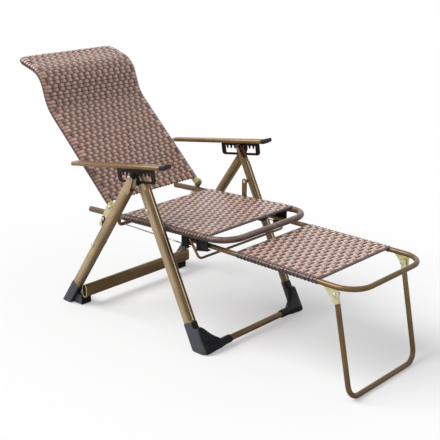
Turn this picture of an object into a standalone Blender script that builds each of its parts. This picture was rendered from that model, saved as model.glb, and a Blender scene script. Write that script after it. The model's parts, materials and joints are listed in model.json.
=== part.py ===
"""Folding woven recliner with a slide-out footrest, built as separate named pieces.

Metres, Z up, floor at Z = 0. X points from the head to the feet, Y to the sitter's left.
"""
import math

import bmesh
import bpy
from mathutils import Matrix, Vector

for item in list(bpy.data.objects):
    bpy.data.objects.remove(item, do_unlink=True)

# Fits
GAP = 0.0003
BORE_CLEARANCE = 0.0003
OVERCUT = 0.002

# Roundness
TUBE_SIDES = 16
ROD_SIDES = 10
BEND_STEPS = 6
ROUND_STEPS = 4
DISC_SIDES = 14

# Side layout, lengths along X from a station below the armrest plates
APEX_AT = -0.016
APEX_HEIGHT = 0.588
FRONT_LEAN = math.radians(26.06)
REAR_LEAN = math.radians(35.3)
SEAT_PIVOT_BEHIND = 0.000461
SEAT_PIVOT_HEIGHT = 0.4705
LINK_RIVET_DROP = 0.375
LINK_RIVET_AHEAD = -0.0035
BACK_HINGE_BEHIND = 0.206
BACK_HINGE_HEIGHT = 0.4235

# Seat
RAIL_RADIUS = 0.011
TUBE_WALL = 0.0015
RAIL_SPREAD = 0.2262
SEAT_SLOPE = 0.05
SEAT_REAR = -0.333
SEAT_REAR_HEIGHT = 0.3865
SEAT_FRONT = 0.381
SEAT_CORNER = 0.085
SEAT_WEAVE_REAR = -0.143
SEAT_WEAVE_FRONT = 0.298
WEAVE_THICK = 0.0025
WRAP_STEPS = TUBE_SIDES // 2

# Back
BACK_ANGLE = math.radians(137.0)
BACK_STRAIGHT = 0.480
NECK_ANGLE = math.radians(108.0)
NECK_LENGTH = 0.1345
HEAD_ANGLE = math.radians(164.0)
HEAD_LENGTH = 0.134
BACK_TAIL = 0.016
NECK_BEND = 0.16
HEAD_BEND = 0.10
BACK_CORNER = 0.018
BACK_WEAVE_START = 0.026
BACK_WEAVE_END_GAP = 0.036
LOWER_BAR_UP = 0.034
LOWER_BAR_RADIUS = 0.008

# Plates beside the rails
PLATE_THICK = 0.002
HINGE_PLATE_ANGLE = math.radians(237.0)
HINGE_PLATE_LENGTH = 0.092
HINGE_PLATE_RADIUS = 0.013
HINGE_PLATE_TIP_RADIUS = 0.010
LINK_PIVOT_DOWN = 0.062
LINK_RADIUS = 0.010
HANGER_RADIUS = 0.013
HANGER_BOTTOM = 0.396
HANGER_HALF_WIDTH = 0.012
PIN_RADIUS = 0.004
PIN_HEAD_RADIUS = 0.007
PIN_HEAD_THICK = 0.0022
COLLAR_RADIUS = 0.008
COLLAR_LENGTH = 0.0105
BOLT_HEAD_RADIUS = 0.0085
BOLT_HEAD_THICK = 0.004

# Legs, rounded right-angled triangle tubes
FRONT_LEG_DEPTH = 0.030
REAR_LEG_DEPTH = 0.028
LEG_WALL = 0.0016
LEG_ROUND = 0.004
FRONT_LEG_WIDTH = 0.0515
REAR_LEG_WIDTH = 0.049
FRONT_LEG_AHEAD = 0.0061
REAR_LEG_AHEAD = 0.006
LEG_TOP_RADIUS = 0.0185
LEG_TOP_SPREAD = 0.18
REAR_LEG_TOP = 0.008
LEG_LIFT = 0.012
APEX_PLAY = 0.0006
TOOTH_PLATE_THICK = 0.002
REAR_LEG_PLAY = 0.0004
APEX_BOSS_RADIUS = 0.006
STUD_STANDOFF = 0.0005
PLUG_RIM = 0.011
PLUG_DEPTH = 0.0012

# Feet and crossbars
BOOT_WALL = 0.003
FRONT_BOOT_HEIGHT = 0.095
REAR_BOOT_HEIGHT = 0.098
FRONT_BAR_AHEAD = 0.320
FRONT_BAR_HEIGHT = 0.024
FRONT_BAR_RADIUS = 0.0115
FRONT_BAR_HALF = 0.236
FOOT_ARM_END = 0.14
FOOT_ARM_WALL = 0.004
FOOT_WEB_HALF = 0.012
FOOT_WEB_TOP = 0.091
FOOT_WEB_LOW = 0.008
FOOT_WEB_CURVE = 2.3
FOOT_WEB_STEPS = 8
REAR_BAR_HEIGHT = 0.062
REAR_BAR_TALL = 0.052
REAR_BAR_THICK = 0.024
REAR_BAR_LAP = 0.0075
REAR_TOE_END = 0.240
REAR_TOE_HEIGHT = 0.044
REAR_TOE_LENGTH = 0.078
REAR_TOE_AHEAD = 0.030

# Armrests
ARM_SPREAD = 0.2645
ARM_WIDTH = 0.034
ARM_THICK = 0.015
ARM_ROUND = 0.0052
ARM_PIVOT_UP = 0.2155
ARM_SLOPE = math.radians(8.3)
ARM_REAR = 0.008
ARM_LENGTH = 0.482
CAP_LENGTH = 0.031
CAP_WALL = 0.0015
CAP_RISE = 0.006
ARM_BORE_DEPTH = 0.016
PLATE_START = 0.2512
PLATE_LENGTH = 0.202
PLATE_DEPTH = 0.050
PLATE_CORNER = 0.014
SLOT_MARGIN = 0.0225
SLOT_TOP = 0.0125
SLOT_HEIGHT = 0.028
TOOTH_COUNT = 8
TOOTH_HEIGHT = 0.012
TOOTH_WIDTH = 0.012

# Under the seat
CROSS_TUBE_AT = -0.168
CROSS_TUBE_HEIGHT = 0.360
CROSS_TUBE_RADIUS = 0.007
CROSS_TUBE_BEND = 0.013
WIRE_RADIUS = 0.0025
WIRE_SPREAD = 0.2075
WIRE_PLAY = 0.0008
ROD_RADIUS = 0.0045
ROD_TOP_AT = 0.205
ROD_LOW_AT = 0.252
ROD_LOW_HEIGHT = 0.333
ROD_BEND = 0.014

# Footrest
FOOTREST_HEIGHT = 0.380
FOOTREST_RADIUS = 0.009
FOOTREST_SPREAD = 0.198
FOOTREST_REAR = 0.157
FOOTREST_FRONT = 0.890
FOOTREST_CORNER = 0.080
FOOTREST_WEAVE_REAR = 0.399
FOOTREST_WEAVE_FRONT = 0.749
RUNNER_LENGTH = 0.030
RUNNER_RIM = 0.004
RUNNER_INNER = 0.186
RUNNER_OUTER = 0.216
RUNNER_BELOW = 0.008
RUNNER_ABOVE = 0.0115
GLIDE_REAR = 0.225
GLIDE_LENGTH = 0.055
GLIDE_PLAY = 0.0006
GLIDE_PAD_LOW = 0.354
GLIDE_TOP = 0.412
GLIDE_NOSE_RUN = 0.046
GLIDE_NOSE_RISE = 0.009
NOSE_OVERRUN = 0.1

# Folding leg of the footrest
PROP_PIVOT_AT = 0.809
PROP_PIVOT_HEIGHT = 0.352
PROP_SPREAD = 0.1885
PROP_RADIUS = 0.009
PROP_BAR_AT = 0.878
PROP_BEND = 0.045
PROP_TOP = 0.011
BRACKET_LOW_RADIUS = 0.011
BRACKET_BEHIND = 0.042
BRACKET_FORWARD = 0.016
BRACKET_DROP = 0.020

# Colours as linear red, green, blue
BRONZE = (0.157, 0.110, 0.067)
CHAMPAGNE = (0.352, 0.292, 0.231)
RATTAN = (0.218, 0.120, 0.095)
SLATE = (0.042, 0.045, 0.054)
ZINC = (0.650, 0.590, 0.370)
SILVER = (0.560, 0.555, 0.540)
TOOTH_BROWN = (0.026, 0.016, 0.010)
CAP_GREY = (0.050, 0.046, 0.043)

# Layers across the chair, from the rails outwards
WRAP_REACH = RAIL_RADIUS + GAP + WEAVE_THICK
PLATE_IN = RAIL_SPREAD + WRAP_REACH + GAP
PLATE_OUT = PLATE_IN + PLATE_THICK
LINK_IN = PLATE_OUT + GAP
LINK_OUT = LINK_IN + PLATE_THICK
FRONT_LEG_IN = PLATE_OUT + GAP
FRONT_LEG_OUT = FRONT_LEG_IN + FRONT_LEG_DEPTH
TOOTH_IN = FRONT_LEG_OUT + APEX_PLAY
TOOTH_OUT = TOOTH_IN + TOOTH_PLATE_THICK
REAR_LEG_IN = TOOTH_OUT + REAR_LEG_PLAY
REAR_LEG_OUT = REAR_LEG_IN + REAR_LEG_DEPTH

# Points of the side view, X and Z
FRONT_DOWN = Vector((math.sin(FRONT_LEAN), -math.cos(FRONT_LEAN)))
REAR_DOWN = Vector((-math.sin(REAR_LEAN), -math.cos(REAR_LEAN)))
REAR_AHEAD = Vector((-REAR_DOWN.y, REAR_DOWN.x))
APEX = Vector((APEX_AT, APEX_HEIGHT))
seat_pivot_ahead = (APEX_HEIGHT - SEAT_PIVOT_HEIGHT) * math.tan(FRONT_LEAN) - SEAT_PIVOT_BEHIND
SEAT_PIVOT = Vector((APEX_AT + seat_pivot_ahead, SEAT_PIVOT_HEIGHT))
LINK_RIVET = APEX + REAR_AHEAD * LINK_RIVET_AHEAD + REAR_DOWN * LINK_RIVET_DROP
BACK_HINGE = Vector((-BACK_HINGE_BEHIND, BACK_HINGE_HEIGHT))
BACK_UP = Vector((math.cos(BACK_ANGLE), math.sin(BACK_ANGLE)))
NECK_UP = Vector((math.cos(NECK_ANGLE), math.sin(NECK_ANGLE)))
HEAD_UP = Vector((math.cos(HEAD_ANGLE), math.sin(HEAD_ANGLE)))
BACK_KNEE = BACK_HINGE + BACK_UP * BACK_STRAIGHT
NECK_KNEE = BACK_KNEE + NECK_UP * NECK_LENGTH
HEAD_END = NECK_KNEE + HEAD_UP * HEAD_LENGTH
ARM_PIVOT = BACK_HINGE + BACK_UP * ARM_PIVOT_UP
ARM_ALONG = Vector((math.cos(ARM_SLOPE), math.sin(ARM_SLOPE)))
ARM_BELOW = Vector((ARM_ALONG.y, -ARM_ALONG.x))
PLATE_DOWN = Vector((math.cos(HINGE_PLATE_ANGLE), math.sin(HINGE_PLATE_ANGLE)))
LINK_PIVOT = BACK_HINGE + PLATE_DOWN * LINK_PIVOT_DOWN
PROP_PIVOT = Vector((PROP_PIVOT_AT, PROP_PIVOT_HEIGHT))
PROP_BAR = Vector((PROP_BAR_AT, PROP_RADIUS))
bar_straight = (REAR_BAR_TALL - REAR_BAR_THICK) / 2
rear_bar_ahead = REAR_LEG_AHEAD + REAR_LEG_WIDTH / 2 + GAP + REAR_BAR_THICK / 2
rear_bar_ahead -= REAR_AHEAD.y * bar_straight
rear_bar_drop = (APEX_HEIGHT + REAR_AHEAD.y * rear_bar_ahead - REAR_BAR_HEIGHT) / -REAR_DOWN.y
REAR_BAR = APEX + REAR_AHEAD * rear_bar_ahead + REAR_DOWN * rear_bar_drop
FRONT_BAR = Vector((FRONT_BAR_AHEAD, FRONT_BAR_HEIGHT))

# The middle of the length lies at X = 0
HEAD_REACH = HEAD_END.x - RAIL_RADIUS
FOOT_REACH = FOOTREST_FRONT + FOOTREST_RADIUS
CENTRE_SHIFT = -(HEAD_REACH + FOOT_REACH) / 2


def seat_height(x):
    return SEAT_REAR_HEIGHT + SEAT_SLOPE * (x - SEAT_REAR)


def at(point, y):
    return Vector((point.x, y, point.y))


# Mesh helpers
def finish(bm, name):
    bmesh.ops.remove_doubles(bm, verts=bm.verts, dist=1e-7)
    bmesh.ops.recalc_face_normals(bm, faces=bm.faces)
    bmesh.ops.triangulate(bm, faces=[f for f in bm.faces if len(f.verts) > 4])
    mesh = bpy.data.meshes.new(name)
    bm.to_mesh(mesh)
    bm.free()
    made = bpy.data.objects.new(name, mesh)
    bpy.context.scene.collection.objects.link(made)
    return made


def loft(name, rings, loop=False):
    bm = bmesh.new()
    rows = [[bm.verts.new(p) for p in ring] for ring in rings]
    count = len(rows[0])
    pairs = list(zip(rows, rows[1:]))
    if loop:
        pairs.append((rows[-1], rows[0]))
    for one, two in pairs:
        for i in range(count):
            j = (i + 1) % count
            bm.faces.new((one[i], one[j], two[j], two[i]))
    if not loop:
        bm.faces.new(list(reversed(rows[0])))
        bm.faces.new(rows[-1])
    return finish(bm, name)


def bend(points, radii, steps=BEND_STEPS):
    """Round the inner corners of a polyline with arcs."""
    path = [points[0]]
    for before, corner, after, radius in zip(points, points[1:], points[2:], radii):
        back = (before - corner).normalized()
        ahead = (after - corner).normalized()
        half = back.angle(ahead) / 2
        reach = radius / math.tan(half)
        middle = corner + (back + ahead).normalized() * (radius / math.sin(half))
        start = (corner + back * reach - middle).normalized()
        stop = (corner + ahead * reach - middle).normalized()
        for k in range(steps + 1):
            path.append(middle + start.slerp(stop, k / steps) * radius)
    path.append(points[-1])
    return path


def frames(path):
    """Tangent, side and up vectors carried along a path without twist."""
    tangents = []
    for i in range(len(path)):
        before = path[max(i - 1, 0)]
        after = path[min(i + 1, len(path) - 1)]
        if 0 < i < len(path) - 1:
            step = (path[i] - before).normalized() + (after - path[i]).normalized()
        else:
            step = after - before
        tangents.append(step.normalized())
    first = Vector((0, 1, 0))
    if abs(tangents[0].dot(first)) > 0.9:
        first = Vector((0, 0, 1))
    side = (first - tangents[0] * first.dot(tangents[0])).normalized()
    result = []
    for i, tangent in enumerate(tangents):
        if i:
            turn = tangents[i - 1].rotation_difference(tangent)
            side = turn @ side
            side = (side - tangent * side.dot(tangent)).normalized()
        result.append((path[i], tangent, side, tangent.cross(side)))
    return result


def ring(frame, radius, sides):
    centre, _, side, up = frame
    turn = 2 * math.pi / sides
    return [centre + (side * math.cos(turn * k) + up * math.sin(turn * k)) * radius for k in range(sides)]


def rod(name, path, radius, sides=ROD_SIDES):
    return loft(name, [ring(f, radius, sides) for f in frames(path)])


def tube(name, path, radius, wall=TUBE_WALL, sides=TUBE_SIDES):
    line = frames(path)
    outer = [ring(f, radius, sides) for f in line]
    inner = [ring(f, radius - wall, sides) for f in reversed(line)]
    return loft(name, outer + inner, loop=True)


def prism_y(name, outline, low, high):
    """Outline in X and Z, carried along Y."""
    return loft(name, [[at(p, low) for p in outline], [at(p, high) for p in outline]])


def prism_x(name, outline, rear, front):
    """Outline in Y and Z, carried along X."""
    rings = [[Vector((x, p.x, p.y)) for p in outline] for x in (rear, front)]
    return loft(name, rings)


def prism_z(name, outline, low, high):
    rings = [[Vector((p.x, p.y, z)) for p in outline] for z in (low, high)]
    return loft(name, rings)


def disc(centre, radius, sides=DISC_SIDES):
    turn = 2 * math.pi / sides
    return [centre + Vector((math.cos(turn * k), math.sin(turn * k))) * radius for k in range(sides)]


def turned(name, centre, steps):
    """A turned pin along Y from (y, radius) steps."""
    return loft(name, [[at(p, y) for p in disc(centre, radius)] for y, radius in steps])


def capsule(start, stop, first, last, steps=ROUND_STEPS * 2):
    """Hull of two circles in the plane."""
    along = (stop - start).normalized()
    heading = math.atan2(along.y, along.x)
    lean = math.asin((first - last) / (stop - start).length)
    side = math.pi / 2 - lean
    outline = []
    for centre, radius, begin, sweep in (
        (stop, last, heading - side, 2 * side),
        (start, first, heading + side, 2 * math.pi - 2 * side),
    ):
        for k in range(steps + 1):
            angle = begin + sweep * k / steps
            outline.append(centre + Vector((math.cos(angle), math.sin(angle))) * radius)
    return outline


def rounded(points, radius, steps=ROUND_STEPS):
    outline = []
    for i, corner in enumerate(points):
        before = points[i - 1]
        after = points[(i + 1) % len(points)]
        solid = [Vector((p.x, p.y, 0)) for p in (before, corner, after)]
        arc = bend(solid, [radius], steps)[1:-1]
        outline.extend(Vector((p.x, p.y)) for p in arc)
    return outline


def inset(points, amount):
    """Shift every edge of a convex anticlockwise outline inwards."""
    moved = []
    for i, corner in enumerate(points):
        back = (corner - points[i - 1]).normalized()
        ahead = (points[(i + 1) % len(points)] - corner).normalized()
        one = Vector((-back.y, back.x))
        two = Vector((-ahead.y, ahead.x))
        moved.append(corner + (one + two) * (amount / (1 + one.dot(two))))
    return moved


def combine(target, other, operation):
    change = target.modifiers.new("combine", "BOOLEAN")
    change.object = other
    change.operation = operation
    change.solver = "EXACT"
    graph = bpy.context.evaluated_depsgraph_get()
    mesh = bpy.data.meshes.new_from_object(target.evaluated_get(graph))
    target.modifiers.remove(change)
    old = target.data
    target.data = mesh
    bpy.data.meshes.remove(old)
    bpy.data.objects.remove(other, do_unlink=True)


def bore(target, centre, radius, low, high):
    combine(target, turned("bore", centre, ((low, radius), (high, radius))), "DIFFERENCE")


def mirrored(name, source):
    bm = bmesh.new()
    bm.from_mesh(source.data)
    bmesh.ops.scale(bm, vec=(1, -1, 1), verts=bm.verts)
    bmesh.ops.reverse_faces(bm, faces=bm.faces)
    mesh = bpy.data.meshes.new(name)
    bm.to_mesh(mesh)
    bm.free()
    made = bpy.data.objects.new(name, mesh)
    bpy.context.scene.collection.objects.link(made)
    return made


def dress(made, colour, rough, metal):
    skin = bpy.data.materials.new(made.name + "_skin")
    skin.use_nodes = True
    shader = skin.node_tree.nodes["Principled BSDF"]
    shader.inputs["Base Color"].default_value = (*colour, 1)
    shader.inputs["Roughness"].default_value = rough
    shader.inputs["Metallic"].default_value = metal
    made.data.materials.clear()
    made.data.materials.append(skin)


def place(made, pivot, look):
    """Centre the chair on X = 0 and put the origin of a moving piece on its joint axis."""
    origin = Vector((pivot.x + CENTRE_SHIFT, 0, pivot.y)) if pivot else Vector((0, 0, 0))
    made.data.transform(Matrix.Translation(Vector((CENTRE_SHIFT, 0, 0)) - origin))
    made.location = origin
    dress(made, *look)


def pair(left, pivot, look):
    """Place the left piece and its mirrored twin."""
    right = mirrored(left.name.replace("_left", "_right"), left)
    place(left, pivot, look)
    place(right, pivot, look)


METAL = (BRONZE, 0.35, 0.85)
LEG_METAL = (CHAMPAGNE, 0.38, 0.75)
WOVEN = (RATTAN, 0.42, 0.0)
PLASTIC = (SLATE, 0.55, 0.0)
PLATED = (ZINC, 0.33, 0.9)
STEEL = (SILVER, 0.3, 1.0)
BLACK_STEEL = (TOOTH_BROWN, 0.45, 0.6)
CAP_PLASTIC = (CAP_GREY, 0.5, 0.0)


# Woven panels
def wrap_section(spread, radius):
    """Sheet over two side tubes, turned down round the outside of each."""
    near = radius + GAP
    far = near + WEAVE_THICK
    upper = []
    lower = []
    for k in range(WRAP_STEPS + 1):
        angle = -math.pi / 2 + math.pi * k / WRAP_STEPS
        ray = Vector((math.cos(angle), math.sin(angle)))
        upper.append(Vector((spread, 0)) + ray * far)
        lower.append(Vector((spread, 0)) + ray * near)
    left = upper + [Vector((-p.x, p.y)) for p in reversed(upper)]
    right = lower + [Vector((-p.x, p.y)) for p in reversed(lower)]
    return left + list(reversed(right))


def panel(name, section, line):
    """Carry a section, across and above the tubes, along points with their up vectors."""
    rings = [[Vector((p.x, s.x, p.y)) + Vector((u.x, 0, u.y)) * s.y for s in section] for p, u in line]
    return loft(name, rings)


def weave_line(rear, front, height):
    points = [Vector((x, height(x))) for x in (rear, front)]
    along = (points[1] - points[0]).normalized()
    up = Vector((-along.y, along.x))
    return [(p, up) for p in points]


# Seat
def seat_point(x, y):
    return Vector((x, y, seat_height(x)))


seat_path = bend(
    [
        seat_point(SEAT_REAR, RAIL_SPREAD),
        seat_point(SEAT_FRONT, RAIL_SPREAD),
        seat_point(SEAT_FRONT, -RAIL_SPREAD),
        seat_point(SEAT_REAR, -RAIL_SPREAD),
    ],
    [SEAT_CORNER, SEAT_CORNER],
)
place(tube("seat_frame", seat_path, RAIL_RADIUS), None, METAL)
seat_line = weave_line(SEAT_WEAVE_REAR, SEAT_WEAVE_FRONT, seat_height)
place(panel("seat_weave", wrap_section(RAIL_SPREAD, RAIL_RADIUS), seat_line), None, WOVEN)

hole = PIN_RADIUS + BORE_CLEARANCE
plate_tip = BACK_HINGE + PLATE_DOWN * HINGE_PLATE_LENGTH
plate_outline = capsule(BACK_HINGE, plate_tip, HINGE_PLATE_RADIUS, HINGE_PLATE_TIP_RADIUS)
hinge_plate = prism_y("hinge_plate_left", plate_outline, PLATE_IN, PLATE_OUT)
for pivot in (BACK_HINGE, LINK_PIVOT):
    bore(hinge_plate, pivot, hole, PLATE_IN - OVERCUT, PLATE_OUT + OVERCUT)
pair(hinge_plate, None, PLATED)

pin_inside = RAIL_SPREAD - RAIL_RADIUS - OVERCUT
hinge_pin_steps = (
    (pin_inside, PIN_RADIUS),
    (PLATE_OUT + GAP, PIN_RADIUS),
    (PLATE_OUT + GAP, PIN_HEAD_RADIUS),
    (PLATE_OUT + GAP + PIN_HEAD_THICK, PIN_HEAD_RADIUS),
)
pair(turned("back_hinge_pin_left", BACK_HINGE, hinge_pin_steps), None, STEEL)

link_pin_steps = (
    (PLATE_IN - GAP - PIN_HEAD_THICK, PIN_HEAD_RADIUS),
    (PLATE_IN - GAP, PIN_HEAD_RADIUS),
    (PLATE_IN - GAP, PIN_RADIUS),
    (LINK_OUT + GAP, PIN_RADIUS),
    (LINK_OUT + GAP, PIN_HEAD_RADIUS),
    (LINK_OUT + GAP + PIN_HEAD_THICK, PIN_HEAD_RADIUS),
)
pair(turned("link_pin_left", LINK_PIVOT, link_pin_steps), None, STEEL)

hanger_foot = Vector((SEAT_PIVOT.x, HANGER_BOTTOM))
hanger_outline = capsule(SEAT_PIVOT, hanger_foot, HANGER_RADIUS, HANGER_HALF_WIDTH)
hanger = prism_y("seat_hanger_left", hanger_outline, PLATE_IN, PLATE_OUT)
bore(hanger, SEAT_PIVOT, hole, PLATE_IN - OVERCUT, PLATE_OUT + OVERCUT)
pair(hanger, None, METAL)

bolt_steps = (
    (PLATE_IN - GAP - PIN_HEAD_THICK, PIN_HEAD_RADIUS),
    (PLATE_IN - GAP, PIN_HEAD_RADIUS),
    (PLATE_IN - GAP, PIN_RADIUS),
    (PLATE_OUT + GAP, PIN_RADIUS),
    (PLATE_OUT + GAP, COLLAR_RADIUS),
    (PLATE_OUT + GAP + COLLAR_LENGTH, COLLAR_RADIUS),
    (PLATE_OUT + GAP + COLLAR_LENGTH, PIN_RADIUS),
    (FRONT_LEG_OUT + GAP, PIN_RADIUS),
    (FRONT_LEG_OUT + GAP, BOLT_HEAD_RADIUS),
    (FRONT_LEG_OUT + GAP + BOLT_HEAD_THICK, BOLT_HEAD_RADIUS),
)
pair(turned("seat_pivot_bolt_left", SEAT_PIVOT, bolt_steps), None, STEEL)

# Rods and slides under the seat
cross_top = seat_height(CROSS_TUBE_AT) - RAIL_RADIUS - GAP
cross_path = bend(
    [
        Vector((CROSS_TUBE_AT, RAIL_SPREAD, cross_top)),
        Vector((CROSS_TUBE_AT, RAIL_SPREAD, CROSS_TUBE_HEIGHT)),
        Vector((CROSS_TUBE_AT, -RAIL_SPREAD, CROSS_TUBE_HEIGHT)),
        Vector((CROSS_TUBE_AT, -RAIL_SPREAD, cross_top)),
    ],
    [CROSS_TUBE_BEND, CROSS_TUBE_BEND],
)
place(rod("seat_cross_tube", cross_path, CROSS_TUBE_RADIUS), None, METAL)
wire_ends = (CROSS_TUBE_AT + CROSS_TUBE_RADIUS + GAP, GLIDE_REAR - GAP)
wire_path = [Vector((x, WIRE_SPREAD, CROSS_TUBE_HEIGHT)) for x in wire_ends]
pair(rod("guide_wire_left", wire_path, WIRE_RADIUS), None, STEEL)

rod_tilt = math.atan2(ROD_TOP_AT - ROD_LOW_AT, seat_height(ROD_TOP_AT) - ROD_LOW_HEIGHT)
rod_top = seat_height(ROD_TOP_AT) - WRAP_REACH - GAP - ROD_RADIUS * abs(math.sin(rod_tilt))
rod_path = bend(
    [
        Vector((ROD_TOP_AT, RAIL_SPREAD, rod_top)),
        Vector((ROD_LOW_AT, RAIL_SPREAD, ROD_LOW_HEIGHT)),
        Vector((ROD_LOW_AT, -RAIL_SPREAD, ROD_LOW_HEIGHT)),
        Vector((ROD_TOP_AT, -RAIL_SPREAD, rod_top)),
    ],
    [ROD_BEND, ROD_BEND],
)
place(rod("support_rod", rod_path, ROD_RADIUS), None, METAL)

glide_in = FOOTREST_SPREAD
glide_wall = FOOTREST_SPREAD + FOOTREST_RADIUS + GAP + WEAVE_THICK + GLIDE_PLAY
glide_out = RAIL_SPREAD - RAIL_RADIUS - GLIDE_PLAY
glide_pad = FOOTREST_HEIGHT - FOOTREST_RADIUS - GAP - WEAVE_THICK - GLIDE_PLAY
glide_outline = [
    Vector((glide_in, GLIDE_PAD_LOW)),
    Vector((glide_out, GLIDE_PAD_LOW)),
    Vector((glide_out, GLIDE_TOP)),
    Vector((glide_wall, GLIDE_TOP)),
    Vector((glide_wall, glide_pad)),
    Vector((glide_in, glide_pad)),
]
glide_end = GLIDE_REAR + GLIDE_LENGTH
glide = prism_x("footrest_glide_left", glide_outline, GLIDE_REAR, glide_end)
nose_slope = Vector((GLIDE_NOSE_RUN, GLIDE_NOSE_RISE))
nose_start = Vector((glide_end - GLIDE_NOSE_RUN, GLIDE_PAD_LOW)) - nose_slope * NOSE_OVERRUN
nose_stop = Vector((glide_end, GLIDE_PAD_LOW + GLIDE_NOSE_RISE)) + nose_slope * NOSE_OVERRUN
nose_shape = [nose_start, nose_stop, Vector((nose_stop.x, nose_start.y))]
combine(glide, prism_y("glide_nose", nose_shape, glide_in - OVERCUT, glide_out + OVERCUT), "DIFFERENCE")
pair(glide, None, PLASTIC)


# Legs
def leg_corners(width, inner, outer):
    """Front outer, rear outer and front inner corner, ahead and across."""
    return [
        Vector((width / 2, inner)),
        Vector((width / 2, outer)),
        Vector((-width / 2, outer)),
    ]


def leg_ring(outline, down, offset, distance):
    ahead = Vector((-down.y, down.x))
    centre = APEX + ahead * offset + down * distance
    return [at(centre + ahead * p.x, p.y) for p in outline]


def leg_tube(name, width, inner, outer, down, offset, top, bottom):
    corners = leg_corners(width, inner, outer)
    skin = rounded(corners, LEG_ROUND)
    hollow = rounded(inset(corners, LEG_WALL), LEG_ROUND - LEG_WALL)
    ends = (-top, bottom)
    outside = [leg_ring(skin, down, offset, d) for d in ends]
    inside = [leg_ring(hollow, down, offset, d) for d in reversed(ends)]
    return loft(name, outside + inside, loop=True)


front_length = (APEX_HEIGHT - LEG_LIFT) / math.cos(FRONT_LEAN) - FRONT_LEG_WIDTH * math.tan(FRONT_LEAN) / 2
front_shape = (FRONT_LEG_WIDTH, FRONT_LEG_IN, FRONT_LEG_OUT, FRONT_DOWN, FRONT_LEG_AHEAD)
front_leg = leg_tube("front_leg_left", *front_shape, LEG_TOP_RADIUS, front_length)
round_top = capsule(APEX, APEX + FRONT_DOWN * front_length, LEG_TOP_RADIUS, LEG_TOP_SPREAD)
front_cut = (FRONT_LEG_IN - OVERCUT, FRONT_LEG_OUT + OVERCUT)
combine(front_leg, prism_y("round_top", round_top, *front_cut), "INTERSECT")
for pivot in (SEAT_PIVOT, APEX):
    bore(front_leg, pivot, hole, *front_cut)
pair(front_leg, SEAT_PIVOT, LEG_METAL)

rear_length = (APEX_HEIGHT - LEG_LIFT) / math.cos(REAR_LEAN) - REAR_LEG_WIDTH * math.tan(REAR_LEAN) / 2
rear_shape = (REAR_LEG_WIDTH, REAR_LEG_IN, REAR_LEG_OUT, REAR_DOWN, REAR_LEG_AHEAD)
rear_leg = leg_tube("rear_leg_left", *rear_shape, REAR_LEG_TOP, rear_length)
rear_top = capsule(APEX, APEX + REAR_DOWN * rear_length, LEG_TOP_RADIUS, LEG_TOP_SPREAD)
combine(rear_leg, prism_y("rear_top", rear_top, REAR_LEG_IN - OVERCUT, REAR_LEG_OUT + OVERCUT), "INTERSECT")
for pivot in (LINK_RIVET, APEX):
    bore(rear_leg, pivot, hole, REAR_LEG_IN - OVERCUT, REAR_LEG_OUT + OVERCUT)
pair(rear_leg, APEX, LEG_METAL)

# Plug in the top of each rear leg
plug_corners = leg_corners(REAR_LEG_WIDTH, REAR_LEG_IN, REAR_LEG_OUT)
plug_rim = rounded(plug_corners, LEG_ROUND)
plug_core = rounded(inset(plug_corners, LEG_WALL + GAP), LEG_ROUND - LEG_WALL - GAP)
plug_rings = [
    leg_ring(plug_rim, REAR_DOWN, REAR_LEG_AHEAD, -REAR_LEG_TOP - GAP - PLUG_RIM),
    leg_ring(plug_rim, REAR_DOWN, REAR_LEG_AHEAD, -REAR_LEG_TOP - GAP),
    leg_ring(plug_core, REAR_DOWN, REAR_LEG_AHEAD, -REAR_LEG_TOP - GAP),
    leg_ring(plug_core, REAR_DOWN, REAR_LEG_AHEAD, -REAR_LEG_TOP + PLUG_DEPTH),
]
plug = loft("rear_leg_plug_left", plug_rings)
combine(plug, prism_y("plug_top", rear_top, REAR_LEG_IN - OVERCUT, REAR_LEG_OUT + OVERCUT), "INTERSECT")
pair(plug, APEX, PLASTIC)


# Pins of the apex and of the link, each held in one leg
def slant_reach(width, inner, outer, ahead):
    """Where the slanted leg wall lies across the chair at a distance ahead of the centre line."""
    return inner + (outer - inner) * (width / 2 - ahead) / width - LEG_ROUND / 2


front_pin_steps = (
    (slant_reach(FRONT_LEG_WIDTH, FRONT_LEG_IN, FRONT_LEG_OUT, -FRONT_LEG_AHEAD), PIN_RADIUS),
    (FRONT_LEG_OUT, PIN_RADIUS),
)
pair(turned("apex_pin_front_left", APEX, front_pin_steps), SEAT_PIVOT, STEEL)


def rear_pin_steps(start, ahead):
    boss_end = slant_reach(REAR_LEG_WIDTH, REAR_LEG_IN, REAR_LEG_OUT, ahead + APEX_BOSS_RADIUS)
    return (
        (start, APEX_BOSS_RADIUS),
        (boss_end, APEX_BOSS_RADIUS),
        (boss_end, PIN_RADIUS),
        (REAR_LEG_OUT + GAP, PIN_RADIUS),
        (REAR_LEG_OUT + GAP, PIN_HEAD_RADIUS),
        (REAR_LEG_OUT + GAP + PIN_HEAD_THICK, PIN_HEAD_RADIUS),
    )


apex_steps = rear_pin_steps(TOOTH_OUT + STUD_STANDOFF, -REAR_LEG_AHEAD)
pair(turned("apex_pin_rear_left", APEX, apex_steps), APEX, STEEL)
stud_steps = rear_pin_steps(LINK_OUT + STUD_STANDOFF, LINK_RIVET_AHEAD - REAR_LEG_AHEAD)
pair(turned("link_stud_left", LINK_RIVET, stud_steps), APEX, STEEL)

# Folding links
link_outline = capsule(LINK_PIVOT, LINK_RIVET, LINK_RADIUS, LINK_RADIUS)
link = prism_y("fold_link_left", link_outline, LINK_IN, LINK_OUT)
bore(link, LINK_PIVOT, hole, LINK_IN - OVERCUT, LINK_OUT + OVERCUT)
pair(link, LINK_PIVOT, PLATED)


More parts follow.
